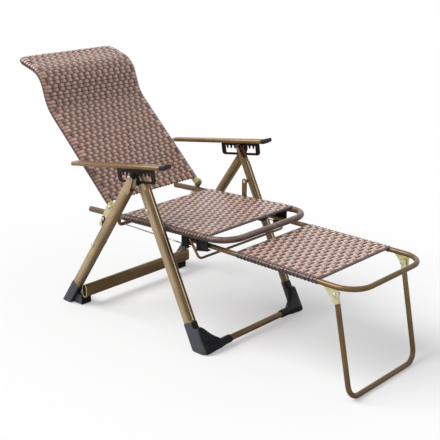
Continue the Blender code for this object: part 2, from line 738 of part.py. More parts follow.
# Feet
def boot(name, width, inner, outer, down, offset, height, leg_end):
    corners = leg_corners(width, inner, outer)
    shell = rounded(inset(corners, -BOOT_WALL), LEG_ROUND + BOOT_WALL)
    pocket = rounded(inset(corners, -GAP), LEG_ROUND + GAP)
    upright = -down.y
    start = (APEX_HEIGHT - height) / upright
    stop = APEX_HEIGHT / upright + width
    made = loft(name, [leg_ring(shell, down, offset, d) for d in (start, stop)])
    reach = width + outer - inner
    corner = APEX + down * stop
    floor_cut = [
        Vector((corner.x - reach, 0)),
        Vector((corner.x + reach, 0)),
        Vector((corner.x + reach, -reach)),
        Vector((corner.x - reach, -reach)),
    ]
    cutter = prism_y("floor_cut", list(reversed(floor_cut)), inner - reach, outer + reach)
    combine(made, cutter, "DIFFERENCE")
    return made, [leg_ring(pocket, down, offset, d) for d in (start - OVERCUT, leg_end + GAP)]


front_boot, front_pocket = boot("front_foot_left", *front_shape, FRONT_BOOT_HEIGHT, front_length)
bar_reach = FRONT_BAR_RADIUS + FOOT_ARM_WALL
web_ahead = Vector((-FRONT_DOWN.y, FRONT_DOWN.x))
web_side = web_ahead * FOOT_WEB_HALF
leg_face = APEX + web_ahead * (FRONT_LEG_AHEAD + FRONT_LEG_WIDTH / 2)
web_heel = leg_face + FRONT_DOWN * leg_face.y / -FRONT_DOWN.y
web_line = leg_face + web_side
web_top = web_line + FRONT_DOWN * (web_line.y - FOOT_WEB_TOP) / -FRONT_DOWN.y
web_toe = Vector((FRONT_BAR.x + bar_reach, 0))
web_base = FRONT_BAR + FRONT_DOWN * FOOT_WEB_LOW
web_rings = []
for step in range(FOOT_WEB_STEPS + 1):
    part = step / FOOT_WEB_STEPS
    crest = FRONT_BAR.lerp(web_top, part ** FOOT_WEB_CURVE)
    heel = (web_base - web_side).lerp(web_heel, part ** FOOT_WEB_CURVE)
    y = FOOT_ARM_END + (FRONT_LEG_IN - FOOT_ARM_END) * part
    toe = (web_base + web_side).lerp(web_toe, part)
    web_ring = (toe, crest + web_side, crest - web_side, heel)
    web_rings.append([at(p, y) for p in web_ring])
web_rings.append([at(p, FRONT_LEG_OUT + BOOT_WALL) for p in web_ring])
combine(front_boot, loft("foot_web", web_rings), "UNION")
sleeve_steps = ((FOOT_ARM_END, bar_reach), (FRONT_LEG_IN + FRONT_LEG_DEPTH / 2, bar_reach))
combine(front_boot, turned("sleeve", FRONT_BAR, sleeve_steps), "UNION")
combine(front_boot, loft("pocket", front_pocket), "DIFFERENCE")
bore(front_boot, FRONT_BAR, FRONT_BAR_RADIUS + GAP, FOOT_ARM_END - OVERCUT, FRONT_BAR_HALF + GAP)
pair(front_boot, SEAT_PIVOT, PLASTIC)
bar_path = [at(FRONT_BAR, y) for y in (-FRONT_BAR_HALF, FRONT_BAR_HALF)]
place(tube("front_crossbar", bar_path, FRONT_BAR_RADIUS), SEAT_PIVOT, METAL)

rear_boot, rear_pocket = boot("rear_foot_left", *rear_shape, REAR_BOOT_HEIGHT, rear_length)
toe_centre = APEX.x + REAR_DOWN.x * APEX_HEIGHT / -REAR_DOWN.y + REAR_LEG_WIDTH / 2 + REAR_TOE_AHEAD
toe_outline = [
    Vector((toe_centre - REAR_TOE_LENGTH / 2, REAR_TOE_END)),
    Vector((toe_centre + REAR_TOE_LENGTH / 2, REAR_TOE_END)),
    Vector((toe_centre + REAR_TOE_LENGTH / 2, REAR_LEG_IN + REAR_LEG_DEPTH / 2)),
    Vector((toe_centre - REAR_TOE_LENGTH / 2, REAR_LEG_IN + REAR_LEG_DEPTH / 2)),
]
combine(rear_boot, prism_z("toe", toe_outline, 0, REAR_TOE_HEIGHT), "UNION")
combine(rear_boot, loft("pocket", rear_pocket), "DIFFERENCE")
bar_high = REAR_BAR + Vector((0, bar_straight))
bar_low = REAR_BAR - Vector((0, bar_straight))
bar_seat = capsule(bar_high, bar_low, REAR_BAR_THICK / 2 + GAP, REAR_BAR_THICK / 2 + GAP)
seat_ends = (REAR_TOE_END - OVERCUT, REAR_LEG_IN + REAR_BAR_LAP + GAP)
combine(rear_boot, prism_y("bar_seat", bar_seat, *seat_ends), "DIFFERENCE")
pair(rear_boot, APEX, PLASTIC)

oval = capsule(bar_high, bar_low, REAR_BAR_THICK / 2, REAR_BAR_THICK / 2)
oval_hollow = capsule(bar_high, bar_low, REAR_BAR_THICK / 2 - TUBE_WALL, REAR_BAR_THICK / 2 - TUBE_WALL)
bar_ends = (-REAR_LEG_IN - REAR_BAR_LAP, REAR_LEG_IN + REAR_BAR_LAP)
bar_rings = [[at(p, y) for p in oval] for y in bar_ends]
bar_rings += [[at(p, y) for p in oval_hollow] for y in reversed(bar_ends)]
place(loft("rear_crossbar", bar_rings, loop=True), APEX, METAL)


# Back
def back_point(point, y):
    return Vector((point.x, y, point.y))


back_side = [BACK_HINGE - BACK_UP * BACK_TAIL, BACK_KNEE, NECK_KNEE, HEAD_END]
back_corners = [back_point(p, RAIL_SPREAD) for p in back_side]
back_corners += [back_point(p, -RAIL_SPREAD) for p in reversed(back_side)]
back_radii = [NECK_BEND, HEAD_BEND, BACK_CORNER, BACK_CORNER, HEAD_BEND, NECK_BEND]
back_frame = tube("back_frame", bend(back_corners, back_radii), RAIL_RADIUS)
for side in (1, -1):
    inner = side * (RAIL_SPREAD - RAIL_RADIUS - OVERCUT)
    outer = side * (RAIL_SPREAD + RAIL_RADIUS + OVERCUT)
    for pivot in (BACK_HINGE, ARM_PIVOT):
        bore(back_frame, pivot, hole, min(inner, outer), max(inner, outer))
place(back_frame, BACK_HINGE, METAL)

weave_corners = [
    BACK_HINGE + BACK_UP * BACK_WEAVE_START,
    BACK_KNEE,
    NECK_KNEE,
    HEAD_END - HEAD_UP * BACK_WEAVE_END_GAP,
]
weave_path = bend([back_point(p, 0) for p in weave_corners], [NECK_BEND, HEAD_BEND])
back_line = []
for centre, tangent, _, _ in frames(weave_path):
    back_line.append((Vector((centre.x, centre.z)), Vector((tangent.z, -tangent.x))))
back_weave = panel("back_weave", wrap_section(RAIL_SPREAD, RAIL_RADIUS), back_line)
for side in (1, -1):
    inner = side * (RAIL_SPREAD + RAIL_RADIUS - OVERCUT)
    outer = side * (PLATE_IN + OVERCUT)
    bore(back_weave, ARM_PIVOT, hole, min(inner, outer), max(inner, outer))
place(back_weave, BACK_HINGE, WOVEN)

bar_half = RAIL_SPREAD - RAIL_RADIUS - GAP
lower_bar = BACK_HINGE + BACK_UP * LOWER_BAR_UP
lower_path = [at(lower_bar, y) for y in (-bar_half, bar_half)]
place(tube("back_lower_bar", lower_path, LOWER_BAR_RADIUS), BACK_HINGE, METAL)

arm_in = ARM_SPREAD - ARM_WIDTH / 2
arm_bolt_steps = (
    (pin_inside, PIN_HEAD_RADIUS - OVERCUT),
    (RAIL_SPREAD - RAIL_RADIUS - GAP, PIN_HEAD_RADIUS - OVERCUT),
    (RAIL_SPREAD - RAIL_RADIUS - GAP, PIN_RADIUS),
    (PLATE_IN, PIN_RADIUS),
    (PLATE_IN, COLLAR_RADIUS),
    (arm_in - GAP, COLLAR_RADIUS),
    (arm_in - GAP, PIN_RADIUS),
    (arm_in + ARM_BORE_DEPTH - GAP, PIN_RADIUS),
)
pair(turned("arm_bolt_left", ARM_PIVOT, arm_bolt_steps), BACK_HINGE, STEEL)


# Armrests
def arm_point(along, below):
    return ARM_PIVOT + ARM_ALONG * along + ARM_BELOW * below


def arm_section(along, grow, rise=0.0):
    half = ARM_WIDTH / 2 + grow
    thick = ARM_THICK / 2 + grow
    low = [Vector((-half, -thick)), Vector((half, -thick))]
    corners = low + [Vector((half, thick)), Vector((-half, thick))]
    outline = rounded(corners, ARM_ROUND + grow)
    centre = arm_point(along, -rise)
    return [at(centre + ARM_BELOW * p.y, ARM_SPREAD + p.x) for p in outline]


arm_end = ARM_LENGTH - GAP
arm_rings = [arm_section(-ARM_REAR, 0.0), arm_section(arm_end, 0.0)]
arm_tube = loft("arm_tube_left", arm_rings)
bore(arm_tube, ARM_PIVOT, hole, arm_in - OVERCUT, arm_in + ARM_BORE_DEPTH)
pair(arm_tube, ARM_PIVOT, METAL)
cap_rings = [
    arm_section(ARM_LENGTH, CAP_WALL),
    arm_section(ARM_LENGTH + CAP_LENGTH / 2, CAP_WALL, CAP_RISE / 4),
    arm_section(ARM_LENGTH + CAP_LENGTH, 0.0, CAP_RISE),
]
pair(loft("arm_cap_left", cap_rings), ARM_PIVOT, CAP_PLASTIC)

plate_top = ARM_THICK / 2 + GAP
plate_low = plate_top + PLATE_DEPTH
plate_end = PLATE_START + PLATE_LENGTH
plate_corners = [
    Vector((PLATE_START, plate_top)),
    Vector((plate_end, plate_top)),
    Vector((plate_end, plate_low)),
    Vector((PLATE_START, plate_low)),
]
plate_shape = [plate_corners[0], plate_corners[1]]
for index in (2, 3):
    trio = [plate_corners[index - 1], plate_corners[index], plate_corners[(index + 1) % 4]]
    flat = [Vector((p.x, p.y, 0)) for p in trio]
    plate_shape += [Vector((p.x, p.y)) for p in bend(flat, [PLATE_CORNER])[1:-1]]
tooth_plate = prism_y("tooth_plate_left", [arm_point(p.x, p.y) for p in plate_shape], TOOTH_IN, TOOTH_OUT)
slot_start = PLATE_START + SLOT_MARGIN
slot_end = plate_end - SLOT_MARGIN
slot_top = plate_top + SLOT_TOP
slot_low = slot_top + SLOT_HEIGHT
slot_shape = [Vector((slot_end, slot_low)), Vector((slot_start, slot_low)), Vector((slot_start, slot_top))]
pitch = (slot_end - slot_start) / TOOTH_COUNT
for tooth in range(TOOTH_COUNT):
    middle = slot_start + pitch * (tooth + 0.5)
    slot_shape.append(Vector((middle - TOOTH_WIDTH / 2, slot_top)))
    slot_shape.append(Vector((middle - TOOTH_WIDTH / 4, slot_top + TOOTH_HEIGHT)))
    slot_shape.append(Vector((middle + TOOTH_WIDTH / 4, slot_top + TOOTH_HEIGHT)))
    slot_shape.append(Vector((middle + TOOTH_WIDTH / 2, slot_top)))
slot_shape.append(Vector((slot_end, slot_top)))
slot = prism_y("slot", [arm_point(p.x, p.y) for p in slot_shape], TOOTH_IN - OVERCUT, TOOTH_OUT + OVERCUT)
combine(tooth_plate, slot, "DIFFERENCE")
pair(tooth_plate, ARM_PIVOT, BLACK_STEEL)

# Footrest
rest_path = bend(
    [
        Vector((FOOTREST_REAR, FOOTREST_SPREAD, FOOTREST_HEIGHT)),
        Vector((FOOTREST_FRONT, FOOTREST_SPREAD, FOOTREST_HEIGHT)),
        Vector((FOOTREST_FRONT, -FOOTREST_SPREAD, FOOTREST_HEIGHT)),
        Vector((FOOTREST_REAR, -FOOTREST_SPREAD, FOOTREST_HEIGHT)),
    ],
    [FOOTREST_CORNER, FOOTREST_CORNER],
)
REST_PIVOT = Vector((FOOTREST_REAR, FOOTREST_HEIGHT))
place(tube("footrest_frame", rest_path, FOOTREST_RADIUS), REST_PIVOT, METAL)
rest_line = weave_line(FOOTREST_WEAVE_REAR, FOOTREST_WEAVE_FRONT, lambda x: FOOTREST_HEIGHT)
rest_weave = panel("footrest_weave", wrap_section(FOOTREST_SPREAD, FOOTREST_RADIUS), rest_line)
place(rest_weave, REST_PIVOT, WOVEN)

runner_low = min(CROSS_TUBE_HEIGHT, FOOTREST_HEIGHT) - RUNNER_BELOW
runner_high = max(CROSS_TUBE_HEIGHT, FOOTREST_HEIGHT) + RUNNER_ABOVE
runner_outline = [
    Vector((RUNNER_INNER, runner_low)),
    Vector((RUNNER_OUTER, runner_low)),
    Vector((RUNNER_OUTER, runner_high)),
    Vector((RUNNER_INNER, runner_high)),
]
runner_start = FOOTREST_REAR - RUNNER_RIM
runner = prism_x("footrest_runner_left", runner_outline, runner_start, runner_start + RUNNER_LENGTH)
tube_room = disc(Vector((FOOTREST_SPREAD, FOOTREST_HEIGHT)), FOOTREST_RADIUS + GAP)
wire_room = disc(Vector((WIRE_SPREAD, CROSS_TUBE_HEIGHT)), WIRE_RADIUS + WIRE_PLAY)
runner_stop = runner_start + RUNNER_LENGTH + OVERCUT
combine(runner, prism_x("tube_room", tube_room, FOOTREST_REAR - GAP, runner_stop), "DIFFERENCE")
combine(runner, prism_x("wire_room", wire_room, runner_start - OVERCUT, runner_stop), "DIFFERENCE")
pair(runner, REST_PIVOT, PLASTIC)

# Folding leg of the footrest
bracket_in = PROP_SPREAD + PROP_RADIUS + GAP
bracket_out = bracket_in + PLATE_THICK
bracket_top = FOOTREST_HEIGHT - FOOTREST_RADIUS - GAP
bracket_low = PROP_PIVOT - (PROP_PIVOT - PROP_BAR).normalized() * BRACKET_DROP
bracket_outline = [Vector((PROP_PIVOT.x - BRACKET_BEHIND, bracket_top))]
for k in range(ROUND_STEPS * 2 + 1):
    angle = math.pi + math.pi * k / (ROUND_STEPS * 2)
    bracket_outline.append(bracket_low + Vector((math.cos(angle), math.sin(angle))) * BRACKET_LOW_RADIUS)
bracket_outline.append(Vector((PROP_PIVOT.x + BRACKET_FORWARD, bracket_top)))
bracket = prism_y("leg_bracket_left", bracket_outline, bracket_in, bracket_out)
bore(bracket, PROP_PIVOT, hole, bracket_in - OVERCUT, bracket_out + OVERCUT)
pair(bracket, REST_PIVOT, PLATED)

rivet_in = PROP_SPREAD - PROP_RADIUS - GAP
rivet_steps = (
    (rivet_in - PIN_HEAD_THICK, PIN_HEAD_RADIUS),
    (rivet_in, PIN_HEAD_RADIUS),
    (rivet_in, PIN_RADIUS),
    (bracket_out + GAP, PIN_RADIUS),
    (bracket_out + GAP, PIN_HEAD_RADIUS),
    (bracket_out + GAP + PIN_HEAD_THICK, PIN_HEAD_RADIUS),
)
pair(turned("leg_rivet_left", PROP_PIVOT, rivet_steps), REST_PIVOT, STEEL)

prop_up = (PROP_PIVOT - PROP_BAR).normalized()
prop_head = PROP_PIVOT + prop_up * PROP_TOP
prop_path = bend(
    [
        at(prop_head, PROP_SPREAD),
        at(PROP_BAR, PROP_SPREAD),
        at(PROP_BAR, -PROP_SPREAD),
        at(prop_head, -PROP_SPREAD),
    ],
    [PROP_BEND, PROP_BEND],
)
prop = tube("footrest_leg", prop_path, PROP_RADIUS)
for side in (1, -1):
    inner = side * (PROP_SPREAD - PROP_RADIUS - OVERCUT)
    outer = side * (PROP_SPREAD + PROP_RADIUS + OVERCUT)
    bore(prop, PROP_PIVOT, hole, min(inner, outer), max(inner, outer))
place(prop, PROP_PIVOT, METAL)
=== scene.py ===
"""Folding lounge chair with woven strip panels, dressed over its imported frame."""

import json
import math
import random

import bmesh
import bpy
from bpy.props import FloatProperty, FloatVectorProperty, IntProperty, PointerProperty
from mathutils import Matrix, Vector


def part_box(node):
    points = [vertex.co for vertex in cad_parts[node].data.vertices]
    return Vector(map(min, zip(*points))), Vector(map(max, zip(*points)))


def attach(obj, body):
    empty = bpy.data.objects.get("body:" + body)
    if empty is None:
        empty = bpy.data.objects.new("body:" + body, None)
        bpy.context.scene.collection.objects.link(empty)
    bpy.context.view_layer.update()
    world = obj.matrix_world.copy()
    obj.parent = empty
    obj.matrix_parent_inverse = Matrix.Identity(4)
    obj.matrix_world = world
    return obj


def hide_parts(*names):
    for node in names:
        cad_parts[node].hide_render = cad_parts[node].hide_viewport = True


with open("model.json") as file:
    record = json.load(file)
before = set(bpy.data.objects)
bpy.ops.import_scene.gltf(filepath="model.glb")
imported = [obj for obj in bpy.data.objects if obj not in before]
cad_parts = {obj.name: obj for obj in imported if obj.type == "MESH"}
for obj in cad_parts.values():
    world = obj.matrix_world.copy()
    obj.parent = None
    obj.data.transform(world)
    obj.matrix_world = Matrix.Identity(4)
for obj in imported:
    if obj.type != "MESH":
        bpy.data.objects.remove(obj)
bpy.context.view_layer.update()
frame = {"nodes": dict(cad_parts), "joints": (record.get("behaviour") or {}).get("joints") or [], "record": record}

bl_info = {
    "name": "Folding lounge chair",
    "version": (1, 0, 0),
    "blender": (4, 5, 0),
    "location": "View3D > Sidebar > Chair",
    "description": "Dresses a packed folding lounge chair with woven panels, metal, plastic and a studio",
    "category": "Object",
}

PIVOT = {j["name"]: Vector(j["pos_m"]) for j in frame["joints"] if "pos_m" in j}
SIDES = {"left": 1, "right": -1}
BODY_OF = {node: body for body, nodes in frame["record"]["behaviour"]["bodies"].items() for node in nodes}

# Photograph frame and camera, in metres in the chair's own frame
IMAGE_SIDE = 440
FOCAL_PIXELS = 923.0
SENSOR = 36.0
CAMERA_AT = Vector((2.2733, -2.3522, 1.4748))
CAMERA_AZIMUTH = math.radians(43.3)
CAMERA_ELEVATION = math.radians(18.5)

# Tubes that carry the weave
RAIL_RADIUS = 0.011
RAIL_SPREAD = 0.2262
SEAT_SLOPE = 0.05
SEAT_CORNER = 0.085
FOOT_TUBE_RADIUS = 0.009
FOOT_TUBE_SPREAD = 0.198
PROP_SPREAD = 0.1885
BACK_CORNER = 0.018
BACK_START = 0.026
BACK_COURSE = ((137.0, 0.480), (108.0, 0.1345), (164.0, 0.134))
BACK_BENDS = (0.16, 0.10)

# Legs
FRONT_LEAN = math.radians(26.06)
REAR_LEAN = math.radians(35.3)
FRONT_LEG_WIDTH = 0.0515
REAR_LEG_WIDTH = 0.049
FRONT_LEG_AHEAD = 0.0061
REAR_LEG_AHEAD = 0.006

# Trim on the legs, as distances below the apex and shares of a leg's width and depth
TRIM_TOP = 0.060
TRIM_END = {"front_leg": 0.545, "rear_leg": 0.610}
BEAD_AT = 0.52
GROOVE_AT = 0.26
CORNER_AT = 0.40
SEAM_AT = 0.22
# Painted shade: a thin dark sheet on each front leg's top, seen through the toothed plate
SHADE_SHEET_DROPS = (-0.016, 0.010, 0.034)
SHADE_SHEET_WIDTH = 0.034
SHADE_SHEET_THICK = 0.0005
CROWN_DROP = 0.004

# Sleeves as (start, stop, radius) along their tubes, rims and rivet heads
BACK_SLEEVE = (-0.004, 0.024, 0.0122)
PROP_SLEEVE = (-0.0105, 0.030, 0.0092)
RIM_INSET = 0.0006
RIM_WIDTH = 0.0030
RIM_THICK = 0.0026
RIM_STEPS = 32
DOME_RADIUS = 0.0052
DOME_RISE = 0.0014

# Weave: steps between crossings, strips in a pair, how a strip wraps its tube and rolls under at an end
SUBSTEPS = 4
PAIR = 2
WRAP_ANGLES = [math.radians(-118 + 26 * k) for k in range(8)]
ROLL_RADIUS = 0.0042
ROLL_RETURN = 0.016
ROLL_STEPS = 6
PANEL_LIFT = 0.0028
STRIP_EDGES = 6
TURN_STEPS = 20
TURN_OVERLAP = 1.06
CORNER_STEPS = 12
TOP_CORNER_STEPS = 6

# Lowest shade of a strip and the spread above it; the narrow strips are darkened as painted shade for the gaps
# around them, and the back's strips are darker than the seat's, painted shade on the back
NARROW_SHADED = (0.04, 0.10)
PALE_STRIP = (0.90, 0.24)
BACK_BROAD_SHADED = (0.76, 0.26)
BACK_NARROW_SHADED = (0.08, 0.12)
# The strips along the seat's side edges keep a low rise, so they take painted shade and little painted highlight
EDGE_SHADE = 0.5
EDGE_RISE = -0.35
WOUND_SHADE = 0.22

# Moulded feet: grain of their mesh, passes of rounding, where the front toe rounds most, and the flanks that take
# painted light
GRAIN = 0.0018
FLOW_PASSES = 26
MELT_PASSES = 420
TOE_AHEAD = (0.0035, 0.011)
TOE_OUT = (0.200, 0.240)
LIT_FLANK_TURN = (0.60, 0.95)

# Softened edges
EDGE_FINE = 0.0004
EDGE_PIN = 0.0005
EDGE_LEG = 0.0008
EDGE_PLASTIC = 0.0010
EDGE_CAP = 0.0020

# Stage
KEY_AT = (-1.6, -1.8, 3.0)
KEY_SPREAD = 40
KEY_AIM = Vector((0, 0, 0.4))
FLOOR_HALF = 30
FLOOR_DROP = 0.0005

WIDTHWISE = Vector((0, 1, 0))
ALONG_X = (0.2, 1, 1)
ALONG_Z = (1, 1, 0.1)
SHORTEST = 1e-5
MERGE = 2e-5
FLAT_ANGLE = math.radians(0.6)
SMOOTH_ANGLE = math.radians(40)


def length_property(name, description, default):
    """A length in metres."""
    return FloatProperty(name=name, description=description, default=default, unit="LENGTH")


def colour_property(name, description, default):
    """A linear colour."""
    return FloatVectorProperty(name=name, description=description, default=default, subtype="COLOR", size=3)


class WeaveSizes(bpy.types.PropertyGroup):
    """Sizes of the woven strips."""

    pitch: length_property("Pitch", "Distance between lengthwise strips", 0.0154)
    row: length_property("Row", "Distance between crosswise strips", 0.0149)
    width: length_property("Width", "Width of a broad strip", 0.0157)
    narrow: length_property("Narrow", "Width of a narrow strip", 0.0062)
    thickness: length_property("Thickness", "Thickness of one strip", 0.0011)
    lift: length_property("Lift", "Rise of a strip over another", 0.0012)
    seed: IntProperty(name="Seed", description="Seed of the strips' shades", default=7)


class FinishColours(bpy.types.PropertyGroup):
    """Colours of the chair's finishes, linear."""

    bronze: colour_property("Bronze", "Anodised tube", (0.165, 0.104, 0.047))
    champagne: colour_property("Champagne", "Outer faces of the legs", (0.45, 0.335, 0.195))
    rattan: colour_property("Rattan", "Woven strip", (0.305, 0.108, 0.066))
    # Pale colour of the painted highlight on the strips' crowns; the random paler clouds also run to it
    pale_highlight: colour_property("Sheen", "Crowns of the woven strip", (0.70, 0.445, 0.350))
    slate: colour_property("Slate", "Moulded feet", (0.013, 0.013, 0.016))
    zinc: colour_property("Zinc", "Plated brackets", (0.80, 0.73, 0.46))
    steel: colour_property("Steel", "Rivets and wires", (0.62, 0.61, 0.58))
    tooth: colour_property("Tooth plate", "Toothed plates", (0.016, 0.010, 0.007))
    cap: colour_property("Cap", "Armrest end caps", (0.022, 0.021, 0.021))


class StageSettings(bpy.types.PropertyGroup):
    """Floor and light."""

    floor: colour_property("Floor", "Floor colour", (0.93, 0.93, 0.93))
    sky: FloatProperty(name="Sky", description="Strength of the soft light all round", default=0.42)
    key: FloatProperty(
        name="Key", description="Strength of the soft lamp behind the sitter's right", default=2.75
    )
    glow: FloatProperty(
        name="Glow", description="Share of the floor's own white that the camera sees", default=0.35
    )


# Shader helpers
def shader_tree(name):
    """A new material, with its nodes, its links and its shader."""
    material = bpy.data.materials.new("chair_" + name)
    material.use_nodes = True
    nodes = material.node_tree.nodes
    return material, nodes, material.node_tree.links, nodes["Principled BSDF"]


def grain_group():
    """Handling marks and moulded grain, shared by the metals and plastics."""
    tree = bpy.data.node_groups.new("surface_grain", "ShaderNodeTree")
    face = tree.interface
    for name, kind, default in (
        ("Cloud Scale", "NodeSocketFloat", 14.0),
        ("Grain Scale", "NodeSocketFloat", 900.0),
        ("Stretch", "NodeSocketVector", (1.0, 1.0, 1.0)),
    ):
        face.new_socket(name, in_out="INPUT", socket_type=kind).default_value = default
    for name in ("Cloud", "Grain"):
        face.new_socket(name, in_out="OUTPUT", socket_type="NodeSocketFloat")
    nodes, links = tree.nodes, tree.links
    inlet = nodes.new("NodeGroupInput")
    outlet = nodes.new("NodeGroupOutput")
    place = nodes.new("ShaderNodeTexCoord")
    stretch = nodes.new("ShaderNodeVectorMath")
    stretch.operation = "MULTIPLY"
    links.new(place.outputs["Object"], stretch.inputs[0])
    links.new(inlet.outputs["Stretch"], stretch.inputs[1])
    for source, scale, detail, name in (
        (place.outputs["Object"], "Cloud Scale", 4.0, "Cloud"),
        (stretch.outputs["Vector"], "Grain Scale", 2.0, "Grain"),
    ):
        noise = nodes.new("ShaderNodeTexNoise")
        noise.inputs["Detail"].default_value = detail
        links.new(source, noise.inputs["Vector"])
        links.new(inlet.outputs[scale], noise.inputs["Scale"])
        links.new(noise.outputs["Fac"], outlet.inputs[name])
    return tree


def mixed(nodes, links, factor, first, second, low=0.0, high=1.0):
    """Colour between two, by a factor that is spread over a range."""
    spread = nodes.new("ShaderNodeMapRange")
    spread.inputs["From Min"].default_value = low
    spread.inputs["From Max"].default_value = high
    links.new(factor, spread.inputs["Value"])
    mix = nodes.new("ShaderNodeMix")
    mix.data_type = "RGBA"
    links.new(spread.outputs["Result"], mix.inputs["Factor"])
    for socket, colour in ((6, first), (7, second)):
        if isinstance(colour, bpy.types.NodeSocket):
            links.new(colour, mix.inputs[socket])
        else:
            mix.inputs[socket].default_value = (*colour, 1.0)
    return mix.outputs[2]


def ranged(nodes, links, value, low, high):
    """Value from 0 to 1 carried to a range."""
    spread = nodes.new("ShaderNodeMapRange")
    spread.inputs["To Min"].default_value = low
    spread.inputs["To Max"].default_value = high
    links.new(value, spread.inputs["Value"])
    return spread.outputs["Result"]


def bumped(nodes, links, shader, height, strength, distance):
    """Raise a shader's normal by a height."""
    bump = nodes.new("ShaderNodeBump")
    bump.inputs["Strength"].default_value = strength
    bump.inputs["Distance"].default_value = distance
    links.new(height, bump.inputs["Height"])
    links.new(bump.outputs["Normal"], shader.inputs["Normal"])


def shade(colour, factor):
    """A colour made darker or paler."""
    return tuple(min(1.0, c * factor) for c in colour)


def surface(
    name, colour, metallic, rough, depth, cloud=14.0, grain=900.0, stretch=(1, 1, 1),
    coat=0.0, tint=None, gloss=0.5,
):
    """Metal or plastic with clouded colour, uneven gloss and a fine grain."""
    material, nodes, links, shader = shader_tree(name)
    marks = nodes.new("ShaderNodeGroup")
    marks.node_tree = bpy.data.node_groups.get("surface_grain") or grain_group()
    marks.inputs["Cloud Scale"].default_value = cloud
    marks.inputs["Grain Scale"].default_value = grain
    marks.inputs["Stretch"].default_value = stretch
    second = tint or shade(colour, 1.28)
    tone = mixed(nodes, links, marks.outputs["Cloud"], shade(colour, 0.80), second, 0.3, 0.7)
    links.new(tone, shader.inputs["Base Color"])
    links.new(ranged(nodes, links, marks.outputs["Grain"], *rough), shader.inputs["Roughness"])
    shader.inputs["Metallic"].default_value = metallic
    shader.inputs["Coat Weight"].default_value = coat
    shader.inputs["Specular IOR Level"].default_value = gloss
    bumped(nodes, links, shader, marks.outputs["Grain"], depth, 0.0004)
    return material


def strip_finish(name, colour, pale_highlight, crevice_shade):
    """Glossy woven strip: a shade for each strip, a painted highlight on the crowns, painted shade at the edges
    and in the dips, fine lengthwise ridges.
    """
    material, nodes, links, shader = shader_tree(name)
    lanes = {}
    for lane in ("shade", "across", "rise"):
        lanes[lane] = nodes.new("ShaderNodeAttribute")
        lanes[lane].attribute_name = lane
    place = nodes.new("ShaderNodeTexCoord")
    cloud = nodes.new("ShaderNodeTexNoise")
    cloud.inputs["Scale"].default_value = 38.0
    cloud.inputs["Detail"].default_value = 3.0
    links.new(place.outputs["Object"], cloud.inputs["Vector"])
    flank = mixed(nodes, links, lanes["shade"].outputs["Fac"], shade(colour, 0.10), shade(colour, 0.95))
    # Painted highlight: a strip turns to the pale highlight colour where it rises over another
    crown = mixed(nodes, links, lanes["shade"].outputs["Fac"], shade(colour, 0.40), pale_highlight)
    strip = mixed(nodes, links, lanes["rise"].outputs["Fac"], flank, crown, -0.5, 1.0)
    tone = mixed(nodes, links, cloud.outputs["Fac"], strip, pale_highlight, 0.50, 1.30)
    # Painted shade: the crevice colour darkens each strip's side edges and the dips where it runs under another
    edge = ridged(nodes, links, lanes["across"].outputs["Fac"], 0.25)
    edge_shaded = mixed(nodes, links, edge, crevice_shade, tone, 0.0, 0.07)
    dip_shaded = mixed(nodes, links, lanes["rise"].outputs["Fac"], crevice_shade, edge_shaded, -1.2, -0.3)
    links.new(dip_shaded, shader.inputs["Base Color"])
    height = ranged(nodes, links, ridged(nodes, links, lanes["across"].outputs["Fac"], 0.035), 0.0, 20.0)
    bumped(nodes, links, shader, height, 0.25, 0.0002)
    links.new(ranged(nodes, links, cloud.outputs["Fac"], 0.26, 0.46), shader.inputs["Roughness"])
    shader.inputs["Specular IOR Level"].default_value = 0.5
    shader.inputs["Coat Weight"].default_value = 0.9
    shader.inputs["Coat Roughness"].default_value = 0.18
    return material


def ridged(nodes, links, value, width):
    """Up and down again over twice a width."""
    ridge = nodes.new("ShaderNodeMath")
    ridge.operation = "PINGPONG"
    ridge.inputs[1].default_value = width
    links.new(value, ridge.inputs[0])
    return ridge.outputs["Value"]


def boot_finish(name, colour, side):
    """Moulded plastic, with painted light on its flanks: paler where the faces turn to the sides."""
    material = surface(name, colour, 0.0, (0.24, 0.42), 0.30, 22.0, 1400.0, gloss=0.14)
    nodes, links = material.node_tree.nodes, material.node_tree.links
    lane = nodes.new("ShaderNodeAttribute")
    lane.attribute_name = "flank"
    base = nodes["Principled BSDF"].inputs["Base Color"]
    plain = base.links[0].from_socket
    links.new(mixed(nodes, links, lane.outputs["Fac"], plain, side), base)
    return material


